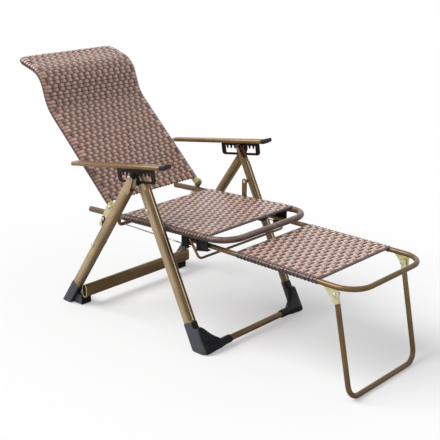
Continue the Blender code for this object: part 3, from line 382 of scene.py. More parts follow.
def finish(name):
    """One finish of the chair, made when first asked for."""
    if "chair_" + name in bpy.data.materials:
        return bpy.data.materials["chair_" + name]
    c = bpy.context.scene.chair_colours

    def bronze(n, factor, cloud, grain, stretch):
        colour = shade(c.bronze, factor)
        return surface(n, colour, 0.45, (0.20, 0.34), 0.08, cloud, grain, stretch, gloss=0.2)

    makers = {
        "bronze_tube": lambda n: bronze(n, 1.0, 9.0, 700.0, ALONG_X),
        # Painted light: a paler copy of the tube bronze for the arms, for the light on their tops
        "bronze_arm_lit": lambda n: bronze(n, 1.45, 9.0, 700.0, ALONG_X),
        "bronze_face": lambda n: bronze(n, 1.25, 8.0, 600.0, ALONG_Z),
        "champagne_face": lambda n: surface(
            n, c.champagne, 0.45, (0.32, 0.48), 0.12, 7.0, 600.0, ALONG_Z, 0.1
        ),
        # Painted highlight: a pale raised bead along a front leg's face, a real rib whose pale colour stands in
        # for the light along it
        "bead_highlight": lambda n: surface(n, (0.88, 0.76, 0.56), 0.6, (0.18, 0.30), 0.08, 9.0),
        # Painted shadow: dark strips on the leg faces for the shade in their grooves
        "groove_shadow": lambda n: surface(n, shade(c.bronze, 0.2), 0.3, (0.35, 0.5), 0.10, 9.0, gloss=0.1),
        "slate_plastic": lambda n: surface(n, c.slate, 0.0, (0.24, 0.42), 0.30, 22.0, 1400.0, gloss=0.14),
        # Painted light: the boots' flanks are six times paler than their slate
        "slate_boot": lambda n: boot_finish(n, c.slate, shade(c.slate, 6.0)),
        "cap_plastic": lambda n: surface(n, c.cap, 0.0, (0.26, 0.44), 0.30, 22.0, 1400.0, gloss=0.25),
        "zinc_plate": lambda n: surface(n, c.zinc, 0.6, (0.26, 0.44), 0.15, 60.0, tint=(0.86, 0.80, 0.42)),
        "yellow_zinc": lambda n: surface(
            n, (0.50, 0.43, 0.12), 0.6, (0.22, 0.40), 0.15, 60.0, tint=(0.66, 0.60, 0.24)
        ),
        "dark_steel": lambda n: surface(n, c.tooth, 0.3, (0.30, 0.50), 0.20, 30.0, gloss=0.2),
        "rivet_steel": lambda n: surface(n, c.steel, 0.9, (0.16, 0.34), 0.10, 60.0),
        # The last colour is the painted shade in the crevices and dips
        "woven_strip": lambda n: strip_finish(n, c.rattan, c.pale_highlight, (0.022, 0.007, 0.006)),
    }
    return makers[name](name)


# Geometry node trees
def sweep_tree():
    """Carries a flat strip with rounded edges along paths, turned to each point's side vector."""
    tree = bpy.data.node_groups.get("strip_sweep")
    if tree:
        return tree
    tree = bpy.data.node_groups.new("strip_sweep", "GeometryNodeTree")
    face = tree.interface
    face.new_socket("Paths", in_out="INPUT", socket_type="NodeSocketGeometry")
    for name in ("Width", "Thickness"):
        face.new_socket(name, in_out="INPUT", socket_type="NodeSocketFloat")
    face.new_socket("Edges", in_out="INPUT", socket_type="NodeSocketInt")
    face.new_socket("Finish", in_out="INPUT", socket_type="NodeSocketMaterial")
    face.new_socket("Strips", in_out="OUTPUT", socket_type="NodeSocketGeometry")
    nodes, links = tree.nodes, tree.links
    inlet = nodes.new("NodeGroupInput")
    outlet = nodes.new("NodeGroupOutput")
    curve = nodes.new("GeometryNodeMeshToCurve")
    links.new(inlet.outputs["Paths"], curve.inputs["Mesh"])
    side = nodes.new("GeometryNodeInputNamedAttribute")
    side.data_type = "FLOAT_VECTOR"
    side.inputs["Name"].default_value = "side"
    turn = nodes.new("GeometryNodeSetCurveNormal")
    turn.mode = "FREE"
    links.new(curve.outputs["Curve"], turn.inputs["Curve"])
    links.new(side.outputs["Attribute"], turn.inputs["Normal"])
    ring = nodes.new("GeometryNodeCurvePrimitiveCircle")
    links.new(inlet.outputs["Edges"], ring.inputs["Resolution"])
    ring.inputs["Radius"].default_value = 0.5
    size = nodes.new("ShaderNodeCombineXYZ")
    links.new(inlet.outputs["Width"], size.inputs["X"])
    links.new(inlet.outputs["Thickness"], size.inputs["Y"])
    flat = nodes.new("GeometryNodeTransform")
    links.new(ring.outputs["Curve"], flat.inputs["Geometry"])
    links.new(size.outputs["Vector"], flat.inputs["Scale"])
    factor = nodes.new("GeometryNodeSplineParameter")
    across = nodes.new("GeometryNodeStoreNamedAttribute")
    across.data_type = "FLOAT"
    across.inputs["Name"].default_value = "across"
    links.new(flat.outputs["Geometry"], across.inputs["Geometry"])
    links.new(factor.outputs["Factor"], across.inputs["Value"])
    skin = nodes.new("GeometryNodeCurveToMesh")
    skin.inputs["Fill Caps"].default_value = True
    links.new(turn.outputs["Curve"], skin.inputs["Curve"])
    links.new(across.outputs["Geometry"], skin.inputs["Profile Curve"])
    end_tree(nodes, links, skin.outputs["Mesh"], inlet.outputs["Finish"], outlet.inputs["Strips"])
    return tree


def end_tree(nodes, links, shape, material, outlet):
    """Smooth shading, real geometry and the finish, at the end of every tree."""
    smooth = nodes.new("GeometryNodeSetShadeSmooth")
    real = nodes.new("GeometryNodeRealizeInstances")
    coat = nodes.new("GeometryNodeSetMaterial")
    links.new(shape, smooth.inputs["Geometry"])
    links.new(smooth.outputs["Geometry"], real.inputs["Geometry"])
    links.new(real.outputs["Geometry"], coat.inputs["Geometry"])
    links.new(material, coat.inputs["Material"])
    links.new(coat.outputs["Geometry"], outlet)


def rivet_tree():
    """Sets a low dome, flattened along the chair's width, on each point."""
    tree = bpy.data.node_groups.get("rivet_domes")
    if tree:
        return tree
    tree = bpy.data.node_groups.new("rivet_domes", "GeometryNodeTree")
    face = tree.interface
    face.new_socket("Places", in_out="INPUT", socket_type="NodeSocketGeometry")
    for name in ("Radius", "Rise"):
        face.new_socket(name, in_out="INPUT", socket_type="NodeSocketFloat")
    face.new_socket("Finish", in_out="INPUT", socket_type="NodeSocketMaterial")
    face.new_socket("Domes", in_out="OUTPUT", socket_type="NodeSocketGeometry")
    nodes, links = tree.nodes, tree.links
    inlet = nodes.new("NodeGroupInput")
    outlet = nodes.new("NodeGroupOutput")
    ball = nodes.new("GeometryNodeMeshUVSphere")
    ball.inputs["Segments"].default_value = 20
    ball.inputs["Rings"].default_value = 10
    ball.inputs["Radius"].default_value = 1.0
    size = nodes.new("ShaderNodeCombineXYZ")
    for socket, name in (("X", "Radius"), ("Y", "Rise"), ("Z", "Radius")):
        links.new(inlet.outputs[name], size.inputs[socket])
    spread = nodes.new("GeometryNodeInstanceOnPoints")
    links.new(inlet.outputs["Places"], spread.inputs["Points"])
    links.new(ball.outputs["Mesh"], spread.inputs["Instance"])
    links.new(size.outputs["Vector"], spread.inputs["Scale"])
    end_tree(nodes, links, spread.outputs["Instances"], inlet.outputs["Finish"], outlet.inputs["Domes"])
    return tree


def grown(name, mesh, tree, values):
    """Run a node tree on a mesh and keep the result as a plain object at the origin."""
    seed = bpy.data.objects.new(name + "_paths", mesh)
    bpy.context.scene.collection.objects.link(seed)
    modifier = seed.modifiers.new("grow", "NODES")
    modifier.node_group = tree
    for item in tree.interface.items_tree:
        if item.item_type == "SOCKET" and item.in_out == "INPUT" and item.name in values:
            modifier[item.identifier] = values[item.name]
    graph = bpy.context.evaluated_depsgraph_get()
    made = bpy.data.meshes.new_from_object(
        seed.evaluated_get(graph), preserve_all_data_layers=True, depsgraph=graph
    )
    made.name = name
    bpy.data.objects.remove(seed)
    bpy.data.meshes.remove(mesh)
    return shown(name, made)


def shown(name, mesh):
    """A mesh as an object of the scene."""
    piece = bpy.data.objects.new(name, mesh)
    bpy.context.scene.collection.objects.link(piece)
    return piece


def swept(name, paths, width, thickness, edges, material):
    """Flat strips along paths of (points, side vectors, shade, rises)."""
    verts, links, sides, shades, heights = [], [], [], [], []
    for points, side_vectors, tone, rises in paths:
        first = len(verts)
        verts.extend(points)
        sides.extend(side_vectors)
        shades.extend([tone] * len(points))
        heights.extend(rises)
        links.extend((first + k, first + k + 1) for k in range(len(points) - 1))
    mesh = bpy.data.meshes.new(name)
    mesh.from_pydata(verts, links, [])
    lane = mesh.attributes.new("side", "FLOAT_VECTOR", "POINT")
    lane.data.foreach_set("vector", [c for v in sides for c in v])
    for name_of, numbers in (("shade", shades), ("rise", heights)):
        mesh.attributes.new(name_of, "FLOAT", "POINT").data.foreach_set("value", numbers)
    values = {"Width": width, "Thickness": thickness, "Edges": edges, "Finish": material}
    return grown(name, mesh, sweep_tree(), values)


# Courses that the weave follows, as (point, up) in the chair's side plane
def bent_course(corners, bends, step, height=0.0):
    """Points along straight runs joined by arcs, with the sitter's side up, spaced evenly at a height."""
    dense = [corners[0]]
    for before, corner, after, radius in zip(corners, corners[1:], corners[2:], bends):
        came = (corner - before).normalized()
        goes = (after - corner).normalized()
        turn = came.angle(goes)
        reach = radius * math.tan(turn / 2)
        start = corner - came * reach
        stop = corner + goes * reach
        steps = max(4, int(math.degrees(turn) / 3))
        for k in range(steps + 1):
            t = k / steps
            dense.append(start * (1 - t) ** 2 + corner * (2 * t * (1 - t)) + stop * t ** 2)
    dense.append(corners[-1])
    last = len(dense) - 1
    ways = [(dense[min(k + 1, last)] - dense[max(k - 1, 0)]).normalized() for k in range(last + 1)]
    upper = [point + Vector((way.y, -way.x)) * height for point, way in zip(dense, ways)]
    lengths = [0.0]
    for a, b in zip(upper, upper[1:]):
        lengths.append(lengths[-1] + (b - a).length)
    count = max(2, round(lengths[-1] / step))
    course = []
    at = 0
    for k in range(count + 1):
        want = lengths[-1] * k / count
        while at < len(lengths) - 2 and lengths[at + 1] < want:
            at += 1
        span = max(lengths[at + 1] - lengths[at], SHORTEST)
        t = (want - lengths[at]) / span
        along = (dense[at + 1] - dense[at]).normalized()
        course.append((dense[at].lerp(dense[at + 1], t), along))
    smooth = []
    for k, (point, along) in enumerate(course):
        near = [course[i][1] for i in (max(k - 1, 0), k, min(k + 1, count))]
        mean = (near[0] + near[1] + near[2]).normalized()
        smooth.append((point, Vector((mean.y, -mean.x)), mean))
    return smooth


def lifted(point, up, y, height):
    """A point of the side plane, raised along up and set at a width."""
    return Vector((point.x + up.x * height, y, point.y + up.y * height))


def eased(states, place):
    """Height between the states of two neighbouring crossings."""
    before = place // SUBSTEPS
    t = place / SUBSTEPS - before
    return states(before) + (states(before + 1) - states(before)) * t * t * (3 - 2 * t)


def weave(name, body, node, course, spread, radius, upright=False, reach=None):
    """Plain weave of broad strips in pairs and single narrow ones: crosswise strips go round both
    side tubes, lengthwise ones roll at the ends, and the narrow ones lie upright or crosswise."""
    sizes = bpy.context.scene.chair_weave
    draw = random.Random(sizes.seed + len(name))
    sheet = radius + sizes.lift + sizes.thickness / 2
    middle = int((spread - radius * 0.35) / sizes.pitch)
    halves = [reach(index) if reach else spread for index in range(len(course))]
    # Painted shade: a wrap darkens as it turns under its tube
    wrap_shade = [math.sin(a) * 1.5 - 1.3 for a in WRAP_ANGLES]
    # Painted shade: the narrow strips are darkened, and the back's strips toned darker than the seat's
    across_tone, along_tone = (BACK_BROAD_SHADED, BACK_NARROW_SHADED) if upright else (NARROW_SHADED, PALE_STRIP)

    def crossing(row, column):
        """1 where the crosswise strip lies on top, -1 where it lies below."""
        step = row // PAIR + column if upright else row + column // PAIR
        narrow_on_top = 1 if step % 2 == 0 else -1
        return -narrow_on_top if upright else narrow_on_top

    crosswise = []
    for index in range(0, len(course), SUBSTEPS):
        point, up, along = course[index]
        half = halves[index]
        side = Vector((along.x, 0, along.y))
        ring = [(half + sheet * math.cos(a), sheet * math.sin(a)) for a in WRAP_ANGLES]
        path = [lifted(point, up, y, h) for y, h in ring]
        rises = list(wrap_shade)
        for k in reversed(range(-middle * SUBSTEPS, middle * SUBSTEPS + 1)):
            y = k * sizes.pitch / SUBSTEPS
            if abs(y) > half - radius * 0.3:
                continue
            rise = eased(lambda column: crossing(index // SUBSTEPS, column), k)
            rises.append(rise)
            path.append(lifted(point, up, y, sheet + rise * sizes.lift))
        path.extend(lifted(point, up, -y, h) for y, h in reversed(ring))
        rises.extend(reversed(wrap_shade))
        tone = across_tone[0] + across_tone[1] * draw.random()
        crosswise.append((path, [side] * len(path), tone, rises))
    lengthwise = []
    for column in range(-middle, middle + 1):
        y = column * sizes.pitch
        # Painted shade: a rolled end takes the lowest rise, so it turns to the dark crevice colour
        start = rolled(course[0], -1, y, sheet)[::-1]
        path, rises = list(start), [-1] * len(start)
        for index, (point, up, along) in enumerate(course):
            if abs(y) > halves[index] - radius * 0.3:
                continue
            rise = -eased(lambda row: crossing(row, column), index)
            rises.append(rise)
            path.append(lifted(point, up, y, sheet + rise * sizes.lift))
        if abs(y) <= halves[-1] - radius * 0.3:
            # Painted shade on the rolled end, as at the start
            stop = rolled(course[-1], 1, y, sheet)
            rises += [-1] * len(stop)
            path += stop
        tone = along_tone[0] + along_tone[1] * draw.random()
        lengthwise.append((path, [WIDTHWISE] * len(path), tone, rises))
    if not upright:
        # Painted shade: side edge strips with a low rise
        for y in (spread - sizes.width / 2, sizes.width / 2 - spread):
            path = [lifted(point, up, y, radius + sizes.thickness) for point, up, along in course]
            lengthwise.append((path, [WIDTHWISE] * len(path), EDGE_SHADE, [EDGE_RISE] * len(path)))
    widths = (sizes.narrow, sizes.width)
    if upright:
        widths = (sizes.width * sizes.row / sizes.pitch, sizes.narrow)
    for part, paths, width in (("across", crosswise, widths[0]), ("along", lengthwise, widths[1])):
        piece = swept(f"{name}_{part}", paths, width, sizes.thickness, STRIP_EDGES, finish("woven_strip"))
        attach(piece, body)
        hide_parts(node)


def rolled(end, sign, y, sheet):
    """A lengthwise strip turned under the end of its panel."""
    point, up, along = end
    ahead = along * sign
    path = []
    for k in range(ROLL_STEPS + 1):
        angle = math.pi / 2 - math.pi * k / ROLL_STEPS
        out = ROLL_RADIUS * math.cos(angle) + ROLL_RADIUS
        path.append(lifted(point + ahead * out, up, y, sheet - ROLL_RADIUS + ROLL_RADIUS * math.sin(angle)))
    path.append(lifted(point - ahead * (ROLL_RETURN - ROLL_RADIUS), up, y, sheet - 2 * ROLL_RADIUS))
    return path


def flat_course(node, slope, radius, step):
    """Course of a flat panel, from its front edge to its rear one, on the axis of its side tubes."""
    low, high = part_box(node)
    rise = Vector((1, slope)).normalized()
    top = Vector((-rise.y, rise.x)) * PANEL_LIFT
    axis_front = high.z - radius - top.y
    front = Vector((high.x - 2 * ROLL_RADIUS, axis_front))
    rear = Vector((low.x + 2 * ROLL_RADIUS, axis_front - (high.x - low.x - 2 * ROLL_RADIUS) * slope))
    return bent_course([front, rear], [], step)


def back_course(step, height=0.0):
    """Course of the back and the head, from its hinge end to its top."""
    hinge = PIVOT["recline"]
    corners = [Vector((hinge.x, hinge.z))]
    for angle, length in BACK_COURSE:
        way = Vector((math.cos(math.radians(angle)), math.sin(math.radians(angle))))
        corners.append(corners[-1] + way * length)
    corners[0] += (corners[1] - corners[0]).normalized() * BACK_START
    return bent_course(corners, BACK_BENDS, step, height)


class CHAIR_OT_weave(bpy.types.Operator):
    """Weave the seat, the back and the footrest"""

    bl_idname = "chair.weave"
    bl_label = "Weave the panels"

    def execute(self, context):
        sizes = context.scene.chair_weave
        step = sizes.row / SUBSTEPS
        seat = flat_course("seat_weave", SEAT_SLOPE, RAIL_RADIUS, step)
        weave("seat_panel", "seat", "seat_weave", seat, RAIL_SPREAD, RAIL_RADIUS)
        rest = flat_course("footrest_weave", 0.0, FOOT_TUBE_RADIUS, step)
        weave("footrest_panel", "footrest", "footrest_weave", rest, FOOT_TUBE_SPREAD, FOOT_TUBE_RADIUS)
        back = back_course(step, RAIL_RADIUS + 2 * sizes.lift + sizes.thickness)
        top = len(back) - 1

        def reach(index):
            rest_of = (top - index) * step
            if rest_of >= BACK_CORNER:
                return RAIL_SPREAD
            drop = BACK_CORNER - rest_of
            return RAIL_SPREAD - BACK_CORNER + math.sqrt(max(BACK_CORNER ** 2 - drop ** 2, 0.0))

        weave("back_panel", "back", "back_weave", back, RAIL_SPREAD, RAIL_RADIUS, True, reach)
        return {"FINISHED"}


class CHAIR_OT_wind(bpy.types.Operator):
    """Wind the strip round the rails of the seat, the back and the footrest"""

    bl_idname = "chair.wind"
    bl_label = "Wind the rails"

    def execute(self, context):
        sizes = context.scene.chair_weave
        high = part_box("seat_frame")[1]
        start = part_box("seat_weave")[0].x + ROLL_RADIUS
        front = high.x - RAIL_RADIUS
        level = high.z - RAIL_RADIUS - SEAT_SLOPE * RAIL_RADIUS / 2

        def height(x):
            return level - (front - x) * SEAT_SLOPE

        plan = [Vector((start, RAIL_SPREAD)), Vector((front - SEAT_CORNER, RAIL_SPREAD))]
        for k in range(1, CORNER_STEPS + 1):
            turn = math.pi / 2 * k / CORNER_STEPS
            x = front - SEAT_CORNER + SEAT_CORNER * math.sin(turn)
            y = RAIL_SPREAD - SEAT_CORNER + SEAT_CORNER * math.cos(turn)
            plan.append(Vector((x, y)))
        plan += [Vector((p.x, -p.y)) for p in reversed(plan)]
        line = [Vector((p.x, p.y, height(p.x))) for p in plan]
        coiled("seat_bar_winding", "seat", line, RAIL_RADIUS)
        rest_low, rest_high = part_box("footrest_weave")
        level = (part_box("footrest_frame")[0].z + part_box("footrest_frame")[1].z) / 2
        for side, sign in SIDES.items():
            ends = (rest_low.x + ROLL_RADIUS, rest_high.x - ROLL_RADIUS)
            line = [Vector((x, FOOT_TUBE_SPREAD * sign, level)) for x in ends]
            coiled(f"footrest_winding_{side}", "footrest", line, FOOT_TUBE_RADIUS)
        course = back_course(sizes.row)
        end, _, along = course[-1]
        straight = [point for point, _, _ in course if (point - end).length > BACK_CORNER]
        rail = [Vector((point.x, RAIL_SPREAD, point.y)) for point in straight]
        for k in range(TOP_CORNER_STEPS + 1):
            turn = math.pi / 2 * k / TOP_CORNER_STEPS
            point = end - along * (BACK_CORNER - BACK_CORNER * math.sin(turn))
            y = RAIL_SPREAD - BACK_CORNER + BACK_CORNER * math.cos(turn)
            rail.append(Vector((point.x, y, point.y)))
        rail += [Vector((p.x, -p.y, p.z)) for p in reversed(rail)]
        coiled("back_winding", "back", rail, RAIL_RADIUS)
        return {"FINISHED"}


def coiled(name, body, line, radius):
    """A strip wound round a tube that follows a line, with painted shade darkening it towards the tube's
    underside.
    """
    sizes = bpy.context.scene.chair_weave
    wound = radius + sizes.thickness * 0.25
    path, sides, rises = [], [], []
    travelled = turn = 0.0
    advance = sizes.narrow * TURN_OVERLAP / TURN_STEPS
    for a, b in zip(line, line[1:]):
        along = (b - a).normalized()
        length = (b - a).length
        out = along.cross(Vector((0, 0, 1))).normalized()
        up = out.cross(along)
        while travelled < length:
            ray = out * math.cos(turn) + up * math.sin(turn)
            path.append(a + along * travelled + ray * wound)
            sides.append(along)
            # Painted shade: the rise falls towards the underside of the tube
            rises.append(0.5 * math.sin(turn) - 0.5)
            travelled += advance
            turn += 2 * math.pi / TURN_STEPS
        travelled -= length
    paths = [(path, sides, WOUND_SHADE, rises)]
    strip = swept(name, paths, sizes.narrow, sizes.thickness * 0.5, STRIP_EDGES, finish("woven_strip"))
    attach(strip, body)


# Frame nodes with their finishes
def dressed(node, material, bevel=0.0006, segments=2):
    """A copy of a frame node with merged corners, softened edges and its finish, standing for the node."""
    work = bmesh.new()
    work.from_mesh(frame["nodes"][node].data)
    bmesh.ops.remove_doubles(work, verts=work.verts, dist=MERGE)
    bmesh.ops.dissolve_limit(work, angle_limit=FLAT_ANGLE, verts=work.verts, edges=work.edges)
    mesh = bpy.data.meshes.new(node + "_dressed")
    work.to_mesh(mesh)
    work.free()
    mesh.materials.clear()
    mesh.materials.append(material)
    for face in mesh.polygons:
        face.material_index = 0
    piece = shown(node + "_dressed", mesh)
    if bevel:
        soft = piece.modifiers.new("soft_edges", "BEVEL")
        soft.width = bevel
        soft.segments = segments
        soft.limit_method = "ANGLE"
        soft.angle_limit = SMOOTH_ANGLE
        baked(piece)
    piece.data.shade_smooth()
    piece.data.set_sharp_from_angle(angle=SMOOTH_ANGLE)
    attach(piece, BODY_OF[node])
    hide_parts(node)
    return piece


def baked(piece):
    """Bake a piece's modifiers into its mesh."""
    graph = bpy.context.evaluated_depsgraph_get()
    mesh = bpy.data.meshes.new_from_object(piece.evaluated_get(graph), depsgraph=graph)
    old = piece.data
    piece.modifiers.clear()
    piece.data = mesh
    bpy.data.meshes.remove(old)


def moulded(node, material, melt):
    """A dressed node whose corners flow into each other. melt gives each place its share of
    extra rounding."""
    piece = dressed(node, material, 0)
    grain = piece.modifiers.new("grain", "REMESH")
    grain.mode = "VOXEL"
    grain.voxel_size = GRAIN
    baked(piece)
    group = piece.vertex_groups.new(name="melt")
    for vertex in piece.data.vertices:
        group.add([vertex.index], melt(vertex.co), "REPLACE")
    for name, passes in (("melt", MELT_PASSES), ("flow", FLOW_PASSES)):
        soft = piece.modifiers.new(name, "SMOOTH")
        soft.factor = 0.5
        soft.iterations = passes
    piece.modifiers["melt"].vertex_group = group.name
    baked(piece)
    piece.vertex_groups.clear()
    piece.data.materials.clear()
    piece.data.materials.append(material)
    piece.data.shade_smooth()
    return piece


def share(value, low, high):
    """How far a value has come from low to high, from 0 to 1."""
    return min(max((value - low) / (high - low), 0.0), 1.0)


def both(*names):
    """Node names on both sides."""
    return [f"{name}_{side}" for name in names for side in SIDES]


class CHAIR_OT_tubes(bpy.types.Operator):
    """Finish the bent tubes, bars and rods"""

    bl_idname = "chair.tubes"
    bl_label = "Finish the tubes"

    def execute(self, context):
        plain = ["seat_frame", "back_frame", "footrest_frame", "footrest_leg"]
        plain += ["front_crossbar", "rear_crossbar", "back_lower_bar", "seat_cross_tube", "support_rod"]
        for node in plain:
            dressed(node, finish("bronze_tube"), EDGE_FINE)
        for node in both("arm_tube"):
            dressed(node, finish("bronze_arm_lit"), EDGE_FINE)
        return {"FINISHED"}


class CHAIR_OT_legs(bpy.types.Operator):
    """Finish the legs, pale outside and bronze in front, with their highlight beads, dark groove strips of painted
    shadow and sheets of painted shade
    """

    bl_idname = "chair.legs"
    bl_label = "Finish the legs"

    def execute(self, context):
        apex = PIVOT["fold_rear_legs"]
        for kind, lean, width, ahead in (
            ("front_leg", FRONT_LEAN, FRONT_LEG_WIDTH, FRONT_LEG_AHEAD),
            ("rear_leg", -REAR_LEAN, REAR_LEG_WIDTH, REAR_LEG_AHEAD),
        ):
            down = Vector((math.sin(lean), 0, -math.cos(lean)))
            fore = Vector((math.cos(lean), 0, math.sin(lean)))
            for side, sign in SIDES.items():
                node = f"{kind}_{side}"
                leg = dressed(node, finish("bronze_face"), EDGE_LEG)
                leg.data.materials.append(finish("champagne_face"))
                leg.data.materials.append(finish("slate_plastic"))
                for face in leg.data.polygons:
                    face.material_index = 1 if face.normal.y * sign > 0.8 else 0
                    if face.normal.z > 0.55 and face.center.z > apex.z - CROWN_DROP:
                        face.material_index = 2
                low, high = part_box(node)
                outer = max(abs(low.y), abs(high.y))
                inner = min(abs(low.y), abs(high.y))
                middle = Vector((apex.x, 0, apex.z)) + fore * ahead
                self.trim(node, kind, middle, down, fore, width, inner, outer, sign)
        return {"FINISHED"}

    def trim(self, node, kind, middle, down, fore, width, inner, outer, sign):
        """Highlight bead, dark groove strips of painted shadow and corner strip on the faces of a leg, and a sheet
        of painted shade on a front leg's top.
        """
        top, end = TRIM_TOP, TRIM_END[kind]
        face = middle + fore * (width / 2)
        depth = outer - inner
        lines = (
            ("bead", face, inner + depth * BEAD_AT, 0.0030, 0.0018, "bead_highlight", WIDTHWISE),
            ("groove", face, inner + depth * GROOVE_AT, 0.0030, 0.0005, "groove_shadow", WIDTHWISE),
            ("corner", middle + fore * (width * CORNER_AT), outer, 0.0100, 0.0014, "bronze_face", fore),
            ("seam", middle + fore * (width * SEAM_AT), outer, 0.0014, 0.0004, "groove_shadow", fore),
        )
        for name, start, y, wide, thick, look, side in lines:
            if kind == "rear_leg" and name == "bead":
                continue
            points = [start + down * d + Vector((0, y * sign, 0)) for d in (top, (top + end) / 2, end)]
            paths = [(points, [side] * 3, 0.5, [1] * 3)]
            strip = swept(f"{node}_{name}", paths, wide, thick, 10, finish(look))
            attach(strip, BODY_OF[node])
        if kind == "front_leg":
            # Painted shade: a thin dark sheet on the front leg's top, behind the toothed plate
            crown = middle - fore * FRONT_LEG_AHEAD + Vector((0, outer * sign, 0))
            paths = [([crown + down * d for d in SHADE_SHEET_DROPS], [fore] * 3, 0.5, [1] * 3)]
            shade_sheet = swept(node + "_cover", paths, SHADE_SHEET_WIDTH, SHADE_SHEET_THICK, 6, finish("slate_plastic"))
            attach(shade_sheet, BODY_OF[node])


class CHAIR_OT_plastics(bpy.types.Operator):
    """Finish the moulded feet, plugs, caps, glides and runners"""

    bl_idname = "chair.plastics"
    bl_label = "Finish the plastics"

    def toe(self, place):
        """Share of extra rounding on a front foot: all of it ahead of the leg, towards the outside."""
        fore = Vector((math.cos(FRONT_LEAN), 0, math.sin(FRONT_LEAN)))
        ahead = (place - PIVOT["fold_rear_legs"]).dot(fore) - FRONT_LEG_AHEAD - FRONT_LEG_WIDTH / 2
        return share(ahead, *TOE_AHEAD) * share(abs(place.y), *TOE_OUT)

    def execute(self, context):
        for node in both("front_foot", "rear_foot"):
            front = "front" in node
            sign = SIDES[node.rsplit("_", 1)[1]]
            foot = moulded(node, finish("slate_boot"), self.toe if front else lambda place: 0.0)
            # Painted light: the outer side of a front foot, and both sides of a rear foot, are marked as flanks to
            # be drawn paler
            flank = foot.data.attributes.new("flank", "FLOAT", "POINT")
            for vertex, mark in zip(foot.data.vertices, flank.data):
                out = vertex.normal.y * sign if front else abs(vertex.normal.y)
                mark.value = share(out, *LIT_FLANK_TURN)
        for node in both("rear_leg_plug", "footrest_glide", "footrest_runner"):
            dressed(node, finish("slate_plastic"), EDGE_PLASTIC)
        for node in both("arm_cap"):
            dressed(node, finish("cap_plastic"), EDGE_CAP, 3)
        return {"FINISHED"}


class CHAIR_OT_plates(bpy.types.Operator):
    """Finish the plated brackets, wires, toothed plates and links"""

    bl_idname = "chair.plates"
    bl_label = "Finish the plates"

    def execute(self, context):
        for node in both("hinge_plate", "leg_bracket", "guide_wire"):
            dressed(node, finish("rivet_steel" if "wire" in node else "zinc_plate"), EDGE_FINE)
        for node in both("seat_hanger"):
            dressed(node, finish("bronze_face"), EDGE_FINE)
        for node in both("tooth_plate", "fold_link"):
            dressed(node, finish("dark_steel"), EDGE_FINE)
        return {"FINISHED"}


class CHAIR_OT_rivets(bpy.types.Operator):
    """Finish the pins and set domes on their heads"""

    bl_idname = "chair.rivets"
    bl_label = "Set the rivets"

    def execute(self, context):
        kinds = both("back_hinge_pin", "link_pin", "seat_pivot_bolt", "apex_pin_front", "apex_pin_rear")
        kinds += both("link_stud", "arm_bolt", "leg_rivet")
        places = {}
        for node in kinds:
            dressed(node, finish("rivet_steel"), EDGE_PIN)
            if node.startswith(("apex_pin_front", "arm_bolt")):
                continue
            low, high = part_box(node)
            sign = 1 if low.y + high.y > 0 else -1
            outer = max(abs(low.y), abs(high.y)) * sign
            head = ((low.x + high.x) / 2, outer, (low.z + high.z) / 2)
            places.setdefault(BODY_OF[node], []).append(head)
        for body, points in places.items():
            mesh = bpy.data.meshes.new(body + "_domes")
            mesh.from_pydata(points, [], [])
            values = {"Radius": DOME_RADIUS, "Rise": DOME_RISE, "Finish": finish("rivet_steel")}
            domes = grown(body + "_rivet_domes", mesh, rivet_tree(), values)
            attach(domes, body)
        return {"FINISHED"}


class CHAIR_OT_fittings(bpy.types.Operator):
    """Add the plated sleeves on the back and the prop leg, and the rims of the rear crossbar"""

    bl_idname = "chair.fittings"
    bl_label = "Add the sleeves and rims"

    def execute(self, context):
        hinge = PIVOT["recline"]
        angle = math.radians(BACK_COURSE[0][0])
        back_up = Vector((math.cos(angle), 0, math.sin(angle)))
        low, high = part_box("footrest_leg")
        prop = PIVOT["footrest_leg_fold"]
        foot = Vector((high.x - FOOT_TUBE_RADIUS, 0, low.z + FOOT_TUBE_RADIUS))
        prop_down = (foot - Vector((prop.x, 0, prop.z))).normalized()
        for side, sign in SIDES.items():
            root = Vector((hinge.x, RAIL_SPREAD * sign, hinge.z))
            self.sleeve(f"back_sleeve_{side}", "back", root, back_up, BACK_SLEEVE, "yellow_zinc")
            head = Vector((prop.x, PROP_SPREAD * sign, prop.z))
            self.sleeve(f"prop_sleeve_{side}", "footrest_leg", head, prop_down, PROP_SLEEVE, "zinc_plate")
        self.rims()
        return {"FINISHED"}

    def sleeve(self, name, body, root, way, sizes, look):
        """A short round sleeve along a tube."""
        start, stop, radius = sizes
        points = [root + way * (start + (stop - start) * k / 3) for k in range(4)]
        lane = [WIDTHWISE] * 4
        piece = swept(name, [(points, lane, 0.5, [1] * 4)], 2 * radius, 2 * radius, 24, finish(look))
        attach(piece, body)

    def rims(self):
        """Oval rims at both ends of the rear crossbar."""
        low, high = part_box("rear_crossbar")
        thick = high.x - low.x
        centre = Vector(((low.x + high.x) / 2, 0, (low.z + high.z) / 2))
        straight = (high.z - low.z - thick) / 2
        for side, sign in SIDES.items():
            points = []
            for k in range(RIM_STEPS + 1):
                turn = 2 * math.pi * k / RIM_STEPS
                up = straight if math.sin(turn) > 0 else -straight
                ray = Vector((math.cos(turn), 0, math.sin(turn))) * (thick / 2 - RIM_INSET)
                points.append(centre + ray + Vector((0, high.y * sign, up)))
            paths = [(points, [WIDTHWISE] * len(points), 0.5, [1] * len(points))]
            rim = swept(f"rear_bar_rim_{side}", paths, RIM_WIDTH, RIM_THICK, 8, finish("zinc_plate"))
            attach(rim, BODY_OF["rear_crossbar"])


